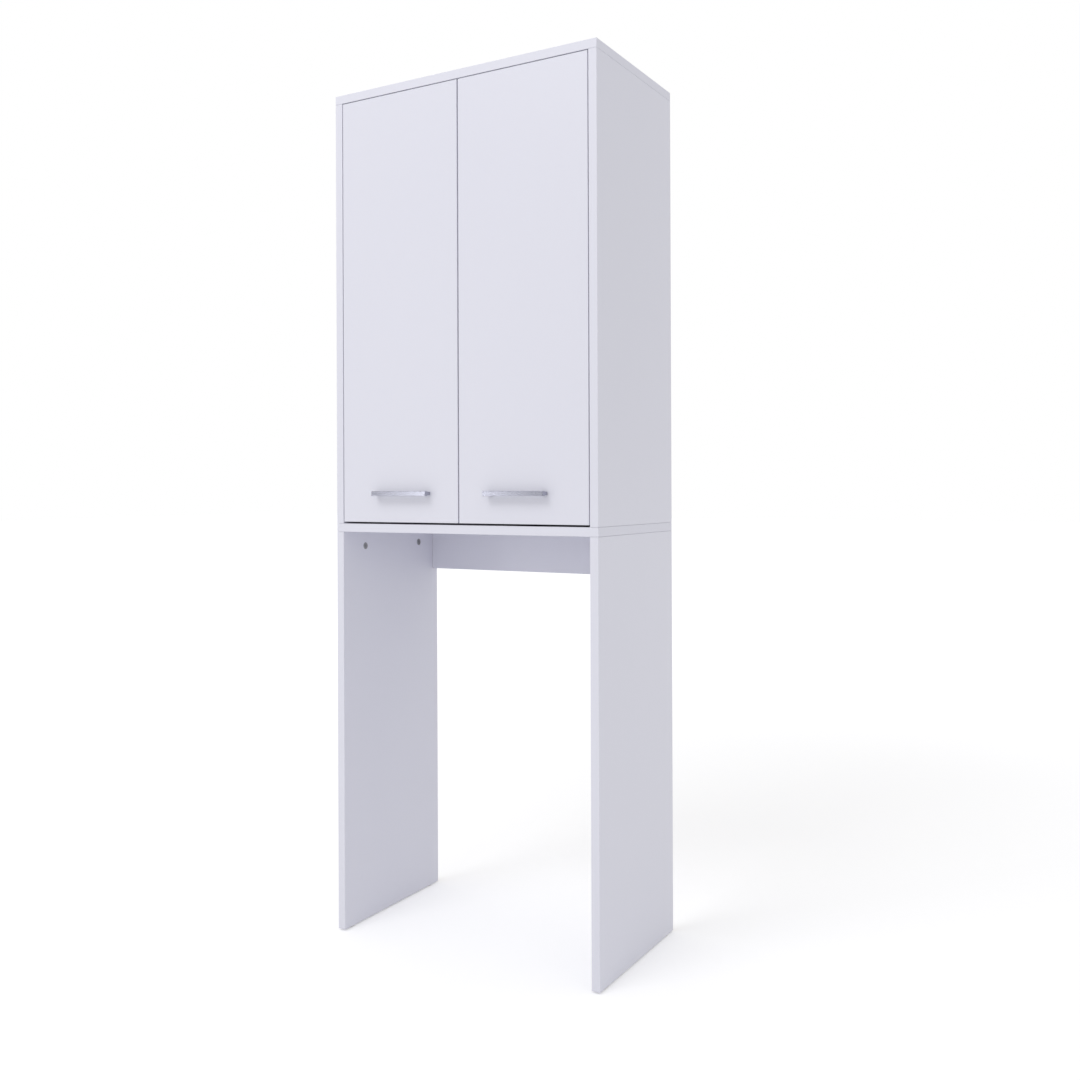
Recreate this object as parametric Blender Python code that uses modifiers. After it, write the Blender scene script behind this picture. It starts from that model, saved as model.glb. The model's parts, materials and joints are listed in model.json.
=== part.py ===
"""Tall bathroom cabinet: a two-door cupboard carried on two leg panels over an open bay.

Metres, +Z up, doors facing -Y, +X to the viewer's right. The origin lies under the middle of
the whole object on the floor. Every board is flat-pack laminated board with banded edges.
"""

import math

import bmesh
import bpy
from mathutils import Matrix, Vector

# Overall sizes
WIDTH = 0.640
DEPTH = 0.350
HEIGHT = 1.820
BAY_HEIGHT = 0.870
BOARD = 0.018
EDGE_ROUND = 0.0005
EDGE_STEPS = 2

# Room left between pieces that touch, and how far a cut runs past the face that it opens
GAP = 0.0003
OVERRUN = 0.002

# Doors, set inside the carcass and flush with its front
DOOR_THICKNESS = 0.018
DOOR_SIDE_GAP = 0.002
DOOR_TOP_GAP = 0.002
DOOR_BOTTOM_GAP = 0.004
DOOR_MIDDLE_GAP = 0.003

# Handles: a flat bar on two lower legs, screwed through the door
HANDLE_LENGTH = 0.140
HANDLE_HEIGHT = 0.010
HANDLE_REACH = 0.020
HANDLE_BAR = 0.008
HANDLE_LEG_LENGTH = 0.010
HANDLE_LEG_HEIGHT = 0.007
HANDLE_LEG_INSET = 0.001
HANDLE_ROUND = 0.0006
HANDLE_FROM_MIDDLE = 0.140
HANDLE_FROM_DOOR_BOTTOM = 0.061

# Back panel in its grooves, and the rail that squares the bay
BACK_THICKNESS = 0.003
BACK_SETBACK = 0.010
GROOVE_DEPTH = 0.007
RAIL_HEIGHT = 0.100

# Shelves on pins
SHELF_SIDE_GAP = 0.001
SHELF_SETBACK = 0.020
PIN_ROW_INSET = 0.037
PIN_PITCH = 0.032
PIN_RADIUS = 0.0025
PIN_IN_BOARD = 0.009
PIN_OUT = 0.009
PIN_HOLE_DEPTH = 0.0105

# Concealed hinge: cup in the door, pivot pin, bent arm, plate on the side panel
HINGE_FROM_DOOR_END = 0.100
PIVOT_FROM_EDGE = 0.020
PIVOT_FROM_INSIDE = 0.0095
CUP_FROM_EDGE = 0.021
CUP_BORE_RADIUS = 0.0176
CUP_BORE_DEPTH = 0.0135
CUP_WALL = 0.0008
CUP_RIM = 0.0010
CUP_RIM_WIDTH = 0.0024
CUP_EAR_REACH = 0.030
CUP_EAR_WIDTH = 0.014
HINGE_PIN_RADIUS = 0.0012
KNUCKLE_WALL = 0.0010
ARM_WIDTH = 0.014
ARM_THICKNESS = 0.0022
ARM_TAIL = 0.052
ARM_CHEEK = 0.0014
NECK_REACH = 0.015
NECK_RISE = 0.0315
PLATE_LINE = 0.037
PLATE_BASE = 0.002
PLATE_BLOCK = 0.0085
PLATE_WIDTH = 0.022
PLATE_SPREAD = 0.032
PLATE_EAR = 0.008
PLATE_HOLE_RADIUS = 0.0025

# Screws through the top panel, down into the side panels
TOP_SCREW_HEAD_RADIUS = 0.0048
TOP_SCREW_SHANK_RADIUS = 0.0034
TOP_SCREW_THREAD_RADIUS = 0.0026
TOP_SCREW_CONE = 0.004
TOP_SCREW_IN_SIDE = 0.032
TOP_SCREW_INSET = 0.045

# Cam locks and bolts between leg panels and bottom panel
CAM_RADIUS = 0.0072
CAM_BORE_RADIUS = 0.0076
CAM_LENGTH = 0.0122
CAM_BORE_DEPTH = 0.0128
CAM_DROP = 0.034
CAM_INSET = 0.075
CAM_CROSS_LENGTH = 0.007
CAM_CROSS_WIDTH = 0.0013
CAM_CROSS_DEPTH = 0.0025
BOLT_THREAD_RADIUS = 0.0022
BOLT_THREAD_LENGTH = 0.011
BOLT_BODY_RADIUS = 0.0034
BOLT_NECK_RADIUS = 0.0018
BOLT_NECK_LENGTH = 0.006
BOLT_HEAD_RADIUS = 0.0030
BOLT_HEAD_LENGTH = 0.004

# Handle screws
SCREW_RADIUS = 0.0019
SCREW_HEAD_RADIUS = 0.0040
SCREW_HEAD_LENGTH = 0.0026
SCREW_IN_HANDLE = 0.008

# Glides under the leg panels
GLIDE_HEIGHT = 0.003
GLIDE_RADIUS = 0.008
GLIDE_NAIL_RADIUS = 0.0011
GLIDE_NAIL_LENGTH = 0.012
GLIDE_INSET = 0.030

# Keyhole plates that hang the cabinet's top on two wall screws
HANGER_HEIGHT = 0.050
HANGER_WIDTH = 0.040
HANGER_THICKNESS = 0.002
HANGER_DROP = 0.008
KEYHOLE_RADIUS = 0.005
KEYHOLE_SLOT = 0.0025
KEYHOLE_LENGTH = 0.014

# Sides of the polygons that stand for circles
CUP_SIDES = 24
ROUND_SIDES = 16
SMALL_SIDES = 12
HOLE_SIDES = 10

# Planes and places that follow from the sizes above
FRONT = (HANDLE_REACH - DEPTH) / 2
BACK = FRONT + DEPTH
OUTER = WIDTH / 2
INNER = OUTER - BOARD
SHELL_BOTTOM = BAY_HEIGHT
FLOOR_TOP = SHELL_BOTTOM + BOARD
TOP_UNDERSIDE = HEIGHT - BOARD
DOOR_BOTTOM = FLOOR_TOP + DOOR_BOTTOM_GAP
DOOR_TOP = TOP_UNDERSIDE - DOOR_TOP_GAP
DOOR_INSIDE = FRONT + DOOR_THICKNESS
BACK_REAR = BACK - BACK_SETBACK - GAP
BACK_FRONT = BACK_REAR - BACK_THICKNESS
SIDE_MIDDLE = OUTER - BOARD / 2
SHELF_FRONT = DOOR_INSIDE + SHELF_SETBACK
SHELF_BACK = BACK_FRONT - SHELF_SIDE_GAP
PIVOT_X = INNER - DOOR_SIDE_GAP - PIVOT_FROM_EDGE
PIVOT_Y = DOOR_INSIDE - PIVOT_FROM_INSIDE
KNUCKLE_RADIUS = HINGE_PIN_RADIUS + GAP + KNUCKLE_WALL
CUP_RADIUS = CUP_BORE_RADIUS - GAP
HANDLE_SCREW_REACH = HANDLE_LENGTH / 2 - HANDLE_LEG_INSET - HANDLE_LEG_LENGTH / 2

# Which side a piece is on: -1 is the viewer's left and 1 the right
LEFT = -1
RIGHT = 1
SIDES = ((LEFT, "left"), (RIGHT, "right"))


def new_collection(name):
    """An empty collection in the scene."""
    made = bpy.data.collections.new(name)
    bpy.context.scene.collection.children.link(made)
    return made


def finish(name, colour, roughness, metallic=0.0):
    """A Principled material of one colour."""
    made = bpy.data.materials.new(name)
    made.use_nodes = True
    shader = made.node_tree.nodes["Principled BSDF"]
    shader.inputs["Base Color"].default_value = (*colour, 1)
    shader.inputs["Roughness"].default_value = roughness
    shader.inputs["Metallic"].default_value = metallic
    made.diffuse_color = (*colour, 1)
    return made


def put(name, mesh, where, look, carrier=None):
    """A part of the cabinet: its mesh at a world place, carried by an empty if it moves."""
    made = bpy.data.objects.new(name, mesh)
    mesh.materials.append(look)
    PARTS.objects.link(made)
    made.location = where
    if carrier:
        made.parent = carrier
        made.location = Vector(where) - carrier.location
    return made


def helper(name, mesh):
    """A shape that only cuts or joins, in world coordinates."""
    made = bpy.data.objects.new(name, mesh)
    CUTTERS.objects.link(made)
    made.hide_render = True
    made.display_type = "WIRE"
    return made


def mesh_of(bm, name):
    """The bmesh as mesh data, with round faces shaded smooth."""
    bmesh.ops.recalc_face_normals(bm, faces=bm.faces)
    made = bpy.data.meshes.new(name)
    bm.to_mesh(made)
    bm.free()
    made.shade_smooth()
    made.set_sharp_from_angle(angle=math.radians(35))
    return made


def add_slab(bm, low, high):
    """A box between two corners."""
    low, high = Vector(low), Vector(high)
    sized = Matrix.Diagonal((*(high - low), 1))
    bmesh.ops.create_cube(bm, size=1, matrix=Matrix.Translation((low + high) / 2) @ sized)


def add_rod(bm, start, end, radius, sides):
    """A closed round rod from start to end."""
    start, end = Vector(start), Vector(end)
    run = end - start
    turned_to = run.to_track_quat("Z", "Y").to_matrix().to_4x4()
    bmesh.ops.create_cone(
        bm,
        cap_ends=True,
        segments=sides,
        radius1=radius,
        radius2=radius,
        depth=run.length,
        matrix=Matrix.Translation((start + end) / 2) @ turned_to,
    )


def combine(target, shape, operation):
    """Cuts a helper from a part, or joins it on."""
    modifier = target.modifiers.new(shape.name, "BOOLEAN")
    modifier.operation = operation
    modifier.object = shape


def slab_helper(name, low, high):
    """One box that cuts or joins."""
    bm = bmesh.new()
    add_slab(bm, low, high)
    return helper(name, mesh_of(bm, name))


def drill(name, targets, rods, sides=HOLE_SIDES):
    """Drills the same set of round holes, (start, end, radius) each, into every target."""
    bm = bmesh.new()
    for start, end, radius in rods:
        add_rod(bm, start, end, radius, sides)
    bits = helper(name, mesh_of(bm, name))
    for target in targets:
        combine(target, bits, "DIFFERENCE")


def block(name, low, high, look, carrier=None, edge=EDGE_ROUND):
    """A board or bar between two corners, its edges rounded."""
    middle = (Vector(low) + Vector(high)) / 2
    bm = bmesh.new()
    add_slab(bm, Vector(low) - middle, Vector(high) - middle)
    made = put(name, mesh_of(bm, name), middle, look, carrier)
    if edge:
        rounding = made.modifiers.new("edge", "BEVEL")
        rounding.width = edge
        rounding.segments = EDGE_STEPS
    return made


def profile_mesh(profile, name):
    """A line of (radius, height) points that runs from the axis at the top down to the axis."""
    made = bpy.data.meshes.new(name)
    points = [(radius, 0, height) for radius, height in profile]
    edges = [(i, i + 1) for i in range(len(points) - 1)]
    made.from_pydata(points, edges, [])
    return made


def spin(turned, sides):
    """Turns an object's profile into a closed round solid."""
    screw = turned.modifiers.new("turn", "SCREW")
    screw.axis = "Z"
    screw.steps = sides
    screw.render_steps = sides
    screw.use_merge_vertices = True
    screw.merge_threshold = GAP / 30
    return turned


def turned_part(name, profile, where, look, sides, carrier=None, tilt=(0, 0, 0)):
    """A round part about its own Z axis, tilted to where that axis points."""
    made = put(name, profile_mesh(profile, name), where, look, carrier)
    made.rotation_euler = tilt
    return spin(made, sides)


def turned_helper(name, profile, where, sides, tilt=(0, 0, 0)):
    """A round cutter about its own Z axis."""
    made = helper(name, profile_mesh(profile, name))
    made.location = where
    made.rotation_euler = tilt
    return spin(made, sides)


def plate_mesh(name, outlines, half_thickness):
    """A flat outline, with any holes as further outlines, given its thickness about Z = 0."""
    curve = bpy.data.curves.new(name, "CURVE")
    curve.dimensions = "2D"
    curve.fill_mode = "BOTH"
    curve.extrude = half_thickness
    for outline in outlines:
        spline = curve.splines.new("POLY")
        spline.points.add(len(outline) - 1)
        for point, (x, y) in zip(spline.points, outline):
            point.co = (x, y, 0, 1)
        spline.use_cyclic_u = True
    guide = bpy.data.objects.new(name, curve)
    CUTTERS.objects.link(guide)
    graph = bpy.context.evaluated_depsgraph_get()
    flat = bpy.data.meshes.new_from_object(guide.evaluated_get(graph))
    bpy.data.objects.remove(guide)
    bm = bmesh.new()
    bm.from_mesh(flat)
    bmesh.ops.remove_doubles(bm, verts=bm.verts, dist=GAP / 30)
    bpy.data.meshes.remove(flat)
    return mesh_of(bm, name)


def circle(centre, radius, sides):
    """Points round a circle."""
    turns = [2 * math.pi * i / sides for i in range(sides)]
    return [
        (centre[0] + radius * math.cos(turn), centre[1] + radius * math.sin(turn))
        for turn in turns
    ]


def across(side, near, far):
    """The lower and upper X of a span that is given by its distances from the middle."""
    return sorted((side * near, side * far))


def build_carcass():
    """Top, bottom, side, leg and back panels and the rail."""
    top = block(
        "top_panel", (-OUTER, FRONT, TOP_UNDERSIDE), (OUTER, BACK, HEIGHT), LAMINATE
    )
    bottom = block(
        "bottom_panel", (-OUTER, FRONT, SHELL_BOTTOM), (OUTER, BACK, FLOOR_TOP), LAMINATE
    )
    sides, legs = {}, {}
    for side, word in SIDES:
        low_x, high_x = across(side, INNER, OUTER)
        sides[side] = block(
            f"side_panel_{word}",
            (low_x, FRONT, FLOOR_TOP + GAP),
            (high_x, BACK, TOP_UNDERSIDE - GAP),
            LAMINATE,
        )
        legs[side] = block(
            f"leg_panel_{word}",
            (low_x, FRONT, GLIDE_HEIGHT),
            (high_x, BACK, SHELL_BOTTOM - GAP),
            LAMINATE,
        )
    groove = slab_helper(
        "back_groove",
        (-INNER - GROOVE_DEPTH, BACK_FRONT - GAP, FLOOR_TOP - GROOVE_DEPTH),
        (INNER + GROOVE_DEPTH, BACK_REAR + GAP, TOP_UNDERSIDE + GROOVE_DEPTH),
    )
    for panel in (top, bottom, *sides.values()):
        combine(panel, groove, "DIFFERENCE")
    reach = INNER + GROOVE_DEPTH - GAP
    block(
        "back_panel",
        (-reach, BACK_FRONT, FLOOR_TOP - GROOVE_DEPTH + GAP),
        (reach, BACK_REAR, TOP_UNDERSIDE + GROOVE_DEPTH - GAP),
        HARDBOARD,
        edge=0,
    )
    block(
        "rear_rail",
        (-INNER + GAP, BACK - BOARD, SHELL_BOTTOM - GAP - RAIL_HEIGHT),
        (INNER - GAP, BACK, SHELL_BOTTOM - GAP),
        LAMINATE,
    )
    return top, bottom, sides, legs


def build_shelves(sides):
    """Two shelves that part the cupboard in three, each on four pins in rows of holes."""
    clear = TOP_UNDERSIDE - FLOOR_TOP - 2 * BOARD
    rows = (SHELF_FRONT + PIN_ROW_INSET, SHELF_BACK - PIN_ROW_INSET)
    for count, word in ((1, "lower"), (2, "upper")):
        underside = FLOOR_TOP + count * clear / 3 + (count - 1) * BOARD
        reach = INNER - SHELF_SIDE_GAP
        block(
            f"shelf_{word}",
            (-reach, SHELF_FRONT, underside),
            (reach, SHELF_BACK, underside + BOARD),
            LAMINATE,
        )
        pin_height = underside - GAP - PIN_RADIUS
        for side, hand in SIDES:
            holes = []
            for row, place in zip(rows, ("front", "rear")):
                for step in (-1, 0, 1):
                    height = pin_height + step * PIN_PITCH
                    start = (side * (INNER - OVERRUN), row, height)
                    end = (side * (INNER + PIN_HOLE_DEPTH), row, height)
                    holes.append((start, end, PIN_RADIUS))
                shank = PIN_RADIUS - GAP
                profile = (
                    (0, PIN_OUT),
                    (PIN_RADIUS - GAP, PIN_OUT),
                    (PIN_RADIUS, PIN_OUT - GAP),
                    (PIN_RADIUS, GAP),
                    (shank, GAP),
                    (shank, -PIN_IN_BOARD),
                    (0, -PIN_IN_BOARD),
                )
                turned_part(
                    f"shelf_pin_{word}_{hand}_{place}",
                    profile,
                    (side * INNER, row, pin_height),
                    STEEL,
                    SMALL_SIDES,
                    tilt=(0, -side * math.pi / 2, 0),
                )
            drill(f"pin_holes_{word}_{hand}", [sides[side]], holes)


def build_doors():
    """The doors and their handles, carried by empties on the hinge axes."""
    doors, axes = {}, {}
    for side, hand in SIDES:
        axis = bpy.data.objects.new(f"{hand}_door_axis", None)
        axis.location = (side * PIVOT_X, PIVOT_Y, DOOR_BOTTOM)
        axis.empty_display_size = BOARD
        PARTS.objects.link(axis)
        axes[side] = axis
        low_x, high_x = across(side, DOOR_MIDDLE_GAP / 2, INNER - DOOR_SIDE_GAP)
        doors[side] = block(
            f"{hand}_door",
            (low_x, FRONT, DOOR_BOTTOM),
            (high_x, DOOR_INSIDE, DOOR_TOP),
            DOOR_LAMINATE,
            axis,
        )
        build_handle(side, hand, doors[side], axis)
    return doors, axes


def build_handle(side, hand, door, axis):
    """A flat bar held off the door by two legs, and the screws that hold it from inside."""
    height = DOOR_BOTTOM + HANDLE_FROM_DOOR_BOTTOM
    middle = side * HANDLE_FROM_MIDDLE
    bar_front, bar_rear = FRONT - HANDLE_REACH, FRONT - HANDLE_REACH + HANDLE_BAR
    handle = block(
        f"{hand}_handle",
        (middle - HANDLE_LENGTH / 2, bar_front, height - HANDLE_HEIGHT / 2),
        (middle + HANDLE_LENGTH / 2, bar_rear, height + HANDLE_HEIGHT / 2),
        ALUMINIUM,
        axis,
        edge=HANDLE_ROUND,
    )
    for way in (-1, 1):
        x = middle + way * HANDLE_SCREW_REACH
        leg = slab_helper(
            f"{hand}_handle_leg_{way}",
            (x - HANDLE_LEG_LENGTH / 2, bar_rear - HANDLE_BAR / 2, height - HANDLE_LEG_HEIGHT / 2),
            (x + HANDLE_LEG_LENGTH / 2, FRONT - GAP, height + HANDLE_LEG_HEIGHT / 2),
        )
        combine(handle, leg, "UNION")
    start = DOOR_INSIDE + GAP
    tip = FRONT - GAP - SCREW_IN_HANDLE
    profile = (
        (0, SCREW_HEAD_LENGTH),
        (SCREW_HEAD_RADIUS - GAP, SCREW_HEAD_LENGTH),
        (SCREW_HEAD_RADIUS, SCREW_HEAD_LENGTH - GAP),
        (SCREW_HEAD_RADIUS, 0),
        (SCREW_RADIUS, 0),
        (SCREW_RADIUS, tip - start),
        (0, tip - start),
    )
    holes = []
    for way, word in ((-1, "a"), (1, "b")):
        x = middle + way * HANDLE_SCREW_REACH
        turned_part(
            f"handle_screw_{hand}_{word}",
            profile,
            (x, start, height),
            STEEL,
            SMALL_SIDES,
            axis,
            tilt=(-math.pi / 2, 0, 0),
        )
        deep = (x, tip - GAP, height)
        holes.append(((x, start + OVERRUN, height), deep, SCREW_RADIUS + 2 * GAP))
    drill(f"handle_holes_{hand}", [door, handle], holes)


def arm_outline():
    """The arm's side view about the pivot: knuckle, bowed neck and tail, X away from the side
    panel and Y inwards. The strap is a line of points given its thickness, which meets the
    knuckle's circle."""
    pivot_out = DOOR_SIDE_GAP + PIVOT_FROM_EDGE
    tail = PLATE_BLOCK + GAP + ARM_THICKNESS / 2 - pivot_out
    neck_shares = ((0.80, 0.175), (1.00, 0.48), (0.92, 0.81), (-0.53, 1.00))
    line = [Vector((0, 0))]
    line += [Vector((reach * NECK_REACH, rise * NECK_RISE)) for reach, rise in neck_shares]
    line += [Vector((tail, NECK_RISE + ARM_THICKNESS)), Vector((tail, NECK_RISE + ARM_TAIL))]
    half = ARM_THICKNESS / 2
    left, right = [], []
    for i, point in enumerate(line):
        before = (point - line[i - 1]).normalized() if i else None
        after = (line[i + 1] - point).normalized() if i + 1 < len(line) else before
        before = before or after
        normal = Vector((-(before + after).y, (before + after).x)).normalized()
        grown = half / normal.dot(Vector((-before.y, before.x)))
        left.append(point + normal * grown)
        right.append(point - normal * grown)
    ahead = (line[1] - line[0]).normalized()
    opening = math.asin(half / KNUCKLE_RADIUS)
    heading = math.atan2(ahead.y, ahead.x)
    start, sweep = heading + opening, 2 * (math.pi - opening)
    turns = [start + sweep * i / SMALL_SIDES for i in range(SMALL_SIDES + 1)]
    knuckle = [(KNUCKLE_RADIUS * math.cos(a), KNUCKLE_RADIUS * math.sin(a)) for a in turns]
    return knuckle + [tuple(p) for p in right[1:]] + [tuple(p) for p in reversed(left[1:])]


def build_hinges(doors, axes):
    """Two hinges to each door."""
    heights = (
        (DOOR_BOTTOM + HINGE_FROM_DOOR_END, "lower"),
        (DOOR_TOP - HINGE_FROM_DOOR_END, "upper"),
    )
    for side, hand in SIDES:
        for height, word in heights:
            tag = f"{hand}_{word}"
            build_cup(side, tag, height, doors[side], axes[side])
            build_arm(side, tag, height)
            build_plate(side, tag, height)


def build_cup(side, tag, height, door, axis):
    """The cup in its bore in the door, with two ears, and the pin across it."""
    x = side * (INNER - DOOR_SIDE_GAP - CUP_FROM_EDGE)
    bore_start = (x, DOOR_INSIDE + OVERRUN, height)
    bore_end = (x, DOOR_INSIDE - CUP_BORE_DEPTH, height)
    drill(f"cup_bore_{tag}", [door], [(bore_start, bore_end, CUP_BORE_RADIUS)], CUP_SIDES)
    low, rim = GAP - CUP_BORE_DEPTH, GAP + CUP_RIM
    inside = CUP_RADIUS - CUP_WALL
    floor = low + CUP_WALL
    profile = (
        (0, floor),
        (inside - CUP_WALL, floor),
        (inside, floor + CUP_WALL),
        (inside, rim),
        (CUP_RADIUS + CUP_RIM_WIDTH, rim),
        (CUP_RADIUS + CUP_RIM_WIDTH, GAP),
        (CUP_RADIUS, GAP),
        (CUP_RADIUS, low + CUP_WALL),
        (CUP_RADIUS - CUP_WALL, low),
        (0, low),
    )
    cup = turned_part(
        f"hinge_cup_{tag}",
        profile,
        (x, DOOR_INSIDE, height),
        STEEL,
        CUP_SIDES,
        axis,
        tilt=(-math.pi / 2, 0, 0),
    )
    for way in (-1, 1):
        near = height + way * (CUP_RADIUS + CUP_RIM_WIDTH / 2)
        far = height + way * CUP_EAR_REACH
        ear = slab_helper(
            f"cup_ear_{tag}_{way}",
            (x - CUP_EAR_WIDTH / 2, DOOR_INSIDE + GAP + CUP_RIM / 10, min(near, far)),
            (x + CUP_EAR_WIDTH / 2, DOOR_INSIDE + GAP + CUP_RIM * 9 / 10, max(near, far)),
        )
        combine(cup, ear, "UNION")
    offset = PIVOT_FROM_EDGE - CUP_FROM_EDGE
    half_chord = math.sqrt(inside**2 - offset**2) * math.cos(math.pi / CUP_SIDES) - GAP
    bm = bmesh.new()
    add_rod(bm, (0, 0, -half_chord), (0, 0, half_chord), HINGE_PIN_RADIUS, SMALL_SIDES)
    where = (side * PIVOT_X, PIVOT_Y, height)
    put(f"hinge_pin_{tag}", mesh_of(bm, "hinge_pin"), where, STEEL, axis)


def build_arm(side, tag, height):
    """The bent arm that the pin carries, with a cheek down each side of its tail."""
    hole = circle((0, 0), HINGE_PIN_RADIUS + GAP, SMALL_SIDES)
    mesh = plate_mesh(f"hinge_arm_{tag}", [arm_outline(), hole], ARM_WIDTH / 2)
    if side == RIGHT:
        mesh.transform(Matrix.Diagonal((-1, 1, 1, 1)))
        mesh.flip_normals()
    arm = put(f"hinge_arm_{tag}", mesh, (side * PIVOT_X, PIVOT_Y, height), STEEL)
    top = PLATE_BLOCK + GAP + ARM_THICKNESS / 2
    foot = PLATE_BASE + 2 * GAP
    low_x, high_x = across(side, INNER - top, INNER - foot)
    start = PIVOT_Y + NECK_RISE + 2 * ARM_THICKNESS
    end = PIVOT_Y + NECK_RISE + ARM_TAIL - ARM_THICKNESS
    for way in (-1, 1):
        near = height + way * (ARM_WIDTH / 2 - ARM_CHEEK)
        far = height + way * (ARM_WIDTH / 2 + ARM_CHEEK / 10)
        cheek = slab_helper(
            f"arm_cheek_{tag}_{way}",
            (low_x, start, min(near, far)),
            (high_x, end, max(near, far)),
        )
        combine(arm, cheek, "UNION")


def build_plate(side, tag, height):
    """The mounting plate: a base with an ear above and below, and a block under the arm."""
    line = DOOR_INSIDE + PLATE_LINE
    reach = PLATE_SPREAD / 2 + PLATE_EAR
    low_x, high_x = across(side, INNER - GAP - PLATE_BASE, INNER - GAP)
    plate = block(
        f"hinge_plate_{tag}",
        (low_x, line - PLATE_WIDTH / 2, height - reach),
        (high_x, line + PLATE_WIDTH / 2, height + reach),
        STEEL,
        edge=GAP,
    )
    low_x, high_x = across(side, INNER - PLATE_BLOCK, INNER - GAP - PLATE_BASE / 2)
    half = ARM_WIDTH / 2 - ARM_CHEEK - GAP
    core = slab_helper(
        f"plate_block_{tag}",
        (low_x, PIVOT_Y + NECK_RISE + 2 * ARM_THICKNESS, height - half),
        (high_x, PIVOT_Y + NECK_RISE + ARM_TAIL - ARM_THICKNESS, height + half),
    )
    combine(plate, core, "UNION")
    holes = []
    for way in (-1, 1):
        z = height + way * PLATE_SPREAD / 2
        start = (side * (INNER + OVERRUN), line, z)
        end = (side * (INNER - PLATE_BASE - OVERRUN), line, z)
        holes.append((start, end, PLATE_HOLE_RADIUS))
    drill(f"plate_holes_{tag}", [plate], holes)


def build_top_screws(top, sides):
    """Countersunk screws down through the top panel into the side panels' upper edges."""

    def profile(room, above):
        """The screw's outline, or its hole's when room and above are more than nothing."""
        shank = TOP_SCREW_SHANK_RADIUS + room
        thread = TOP_SCREW_THREAD_RADIUS + room
        length = BOARD + TOP_SCREW_IN_SIDE
        return (
            (0, above),
            (TOP_SCREW_HEAD_RADIUS + room, above),
            (TOP_SCREW_HEAD_RADIUS + room, -GAP),
            (shank, -TOP_SCREW_CONE),
            (shank, -BOARD),
            (thread, -BOARD - 2 * GAP),
            (thread, -length),
            (0, -length - thread - room),
        )

    for side, hand in SIDES:
        for y, word in ((FRONT + TOP_SCREW_INSET, "front"), (BACK - TOP_SCREW_INSET, "rear")):
            where = (side * SIDE_MIDDLE, y, HEIGHT - GAP)
            name = f"top_screw_{hand}_{word}"
            turned_part(name, profile(0, 0), where, STEEL, SMALL_SIDES)
            hole = turned_helper(f"{name}_hole", profile(GAP, OVERRUN), where, SMALL_SIDES)
            combine(top, hole, "DIFFERENCE")
            combine(sides[side], hole, "DIFFERENCE")


def build_leg_joints(bottom, legs):
    """Bolts under the bottom panel, each held by a cam that turns in the leg's inner face."""
    head_top = -CAM_DROP + BOLT_HEAD_LENGTH / 2
    neck_top = head_top + BOLT_NECK_LENGTH
    head_bottom = head_top - BOLT_HEAD_LENGTH
    bolt = (
        (0, BOLT_THREAD_LENGTH),
        (BOLT_THREAD_RADIUS, BOLT_THREAD_LENGTH),
        (BOLT_THREAD_RADIUS, -GAP),
        (BOLT_BODY_RADIUS, -GAP),
        (BOLT_BODY_RADIUS, neck_top),
        (BOLT_NECK_RADIUS, neck_top),
        (BOLT_NECK_RADIUS, head_top),
        (BOLT_HEAD_RADIUS, head_top),
        (BOLT_HEAD_RADIUS, head_bottom),
        (0, head_bottom),
    )
    bolt_hole = (
        (0, BOLT_THREAD_LENGTH + GAP),
        (BOLT_THREAD_RADIUS + GAP, BOLT_THREAD_LENGTH + GAP),
        (BOLT_THREAD_RADIUS + GAP, -GAP / 2),
        (BOLT_BODY_RADIUS + 2 * GAP, -GAP / 2),
        (BOLT_BODY_RADIUS + 2 * GAP, -CAM_DROP),
        (0, -CAM_DROP),
    )
    for side, hand in SIDES:
        for y, word in ((FRONT + CAM_INSET, "front"), (BACK - CAM_INSET, "rear")):
            tag = f"{hand}_{word}"
            where = (side * SIDE_MIDDLE, y, SHELL_BOTTOM)
            turned_part(f"cam_bolt_{tag}", bolt, where, STEEL, SMALL_SIDES)
            hole = turned_helper(f"bolt_hole_{tag}", bolt_hole, where, SMALL_SIDES)
            combine(bottom, hole, "DIFFERENCE")
            combine(legs[side], hole, "DIFFERENCE")
            build_cam(side, tag, y, SHELL_BOTTOM - CAM_DROP, legs[side])


def build_cam(side, tag, y, z, leg):
    """A cam: a disc with a mouth for the bolt's head and a cross for the screwdriver."""
    bore = [
        (
            (side * (INNER - OVERRUN), y, z),
            (side * (INNER + CAM_BORE_DEPTH), y, z),
            CAM_BORE_RADIUS,
        )
    ]
    drill(f"cam_bore_{tag}", [leg], bore, ROUND_SIDES)
    bm = bmesh.new()
    face = side * (INNER + GAP)
    add_rod(bm, (0, 0, 0), (side * CAM_LENGTH, 0, 0), CAM_RADIUS, ROUND_SIDES)
    cam = put(f"cam_lock_{tag}", mesh_of(bm, "cam_lock"), (face, y, z), ZINC)
    reach = BOLT_HEAD_RADIUS + 2 * GAP
    low_x, high_x = across(side, SIDE_MIDDLE - reach, OUTER)
    mouth = slab_helper(
        f"cam_mouth_{tag}",
        (low_x, y - reach, z - reach),
        (high_x, y + reach, z + CAM_RADIUS + OVERRUN),
    )
    combine(cam, mouth, "DIFFERENCE")
    low_x, high_x = across(side, INNER - OVERRUN, INNER + GAP + CAM_CROSS_DEPTH)
    for i, (half_y, half_z) in enumerate(
        (
            (CAM_CROSS_LENGTH / 2, CAM_CROSS_WIDTH / 2),
            (CAM_CROSS_WIDTH / 2, CAM_CROSS_LENGTH / 2),
        )
    ):
        slot = slab_helper(
            f"cam_slot_{tag}_{i}",
            (low_x, y - half_y, z - half_z),
            (high_x, y + half_y, z + half_z),
        )
        combine(cam, slot, "DIFFERENCE")


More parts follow.
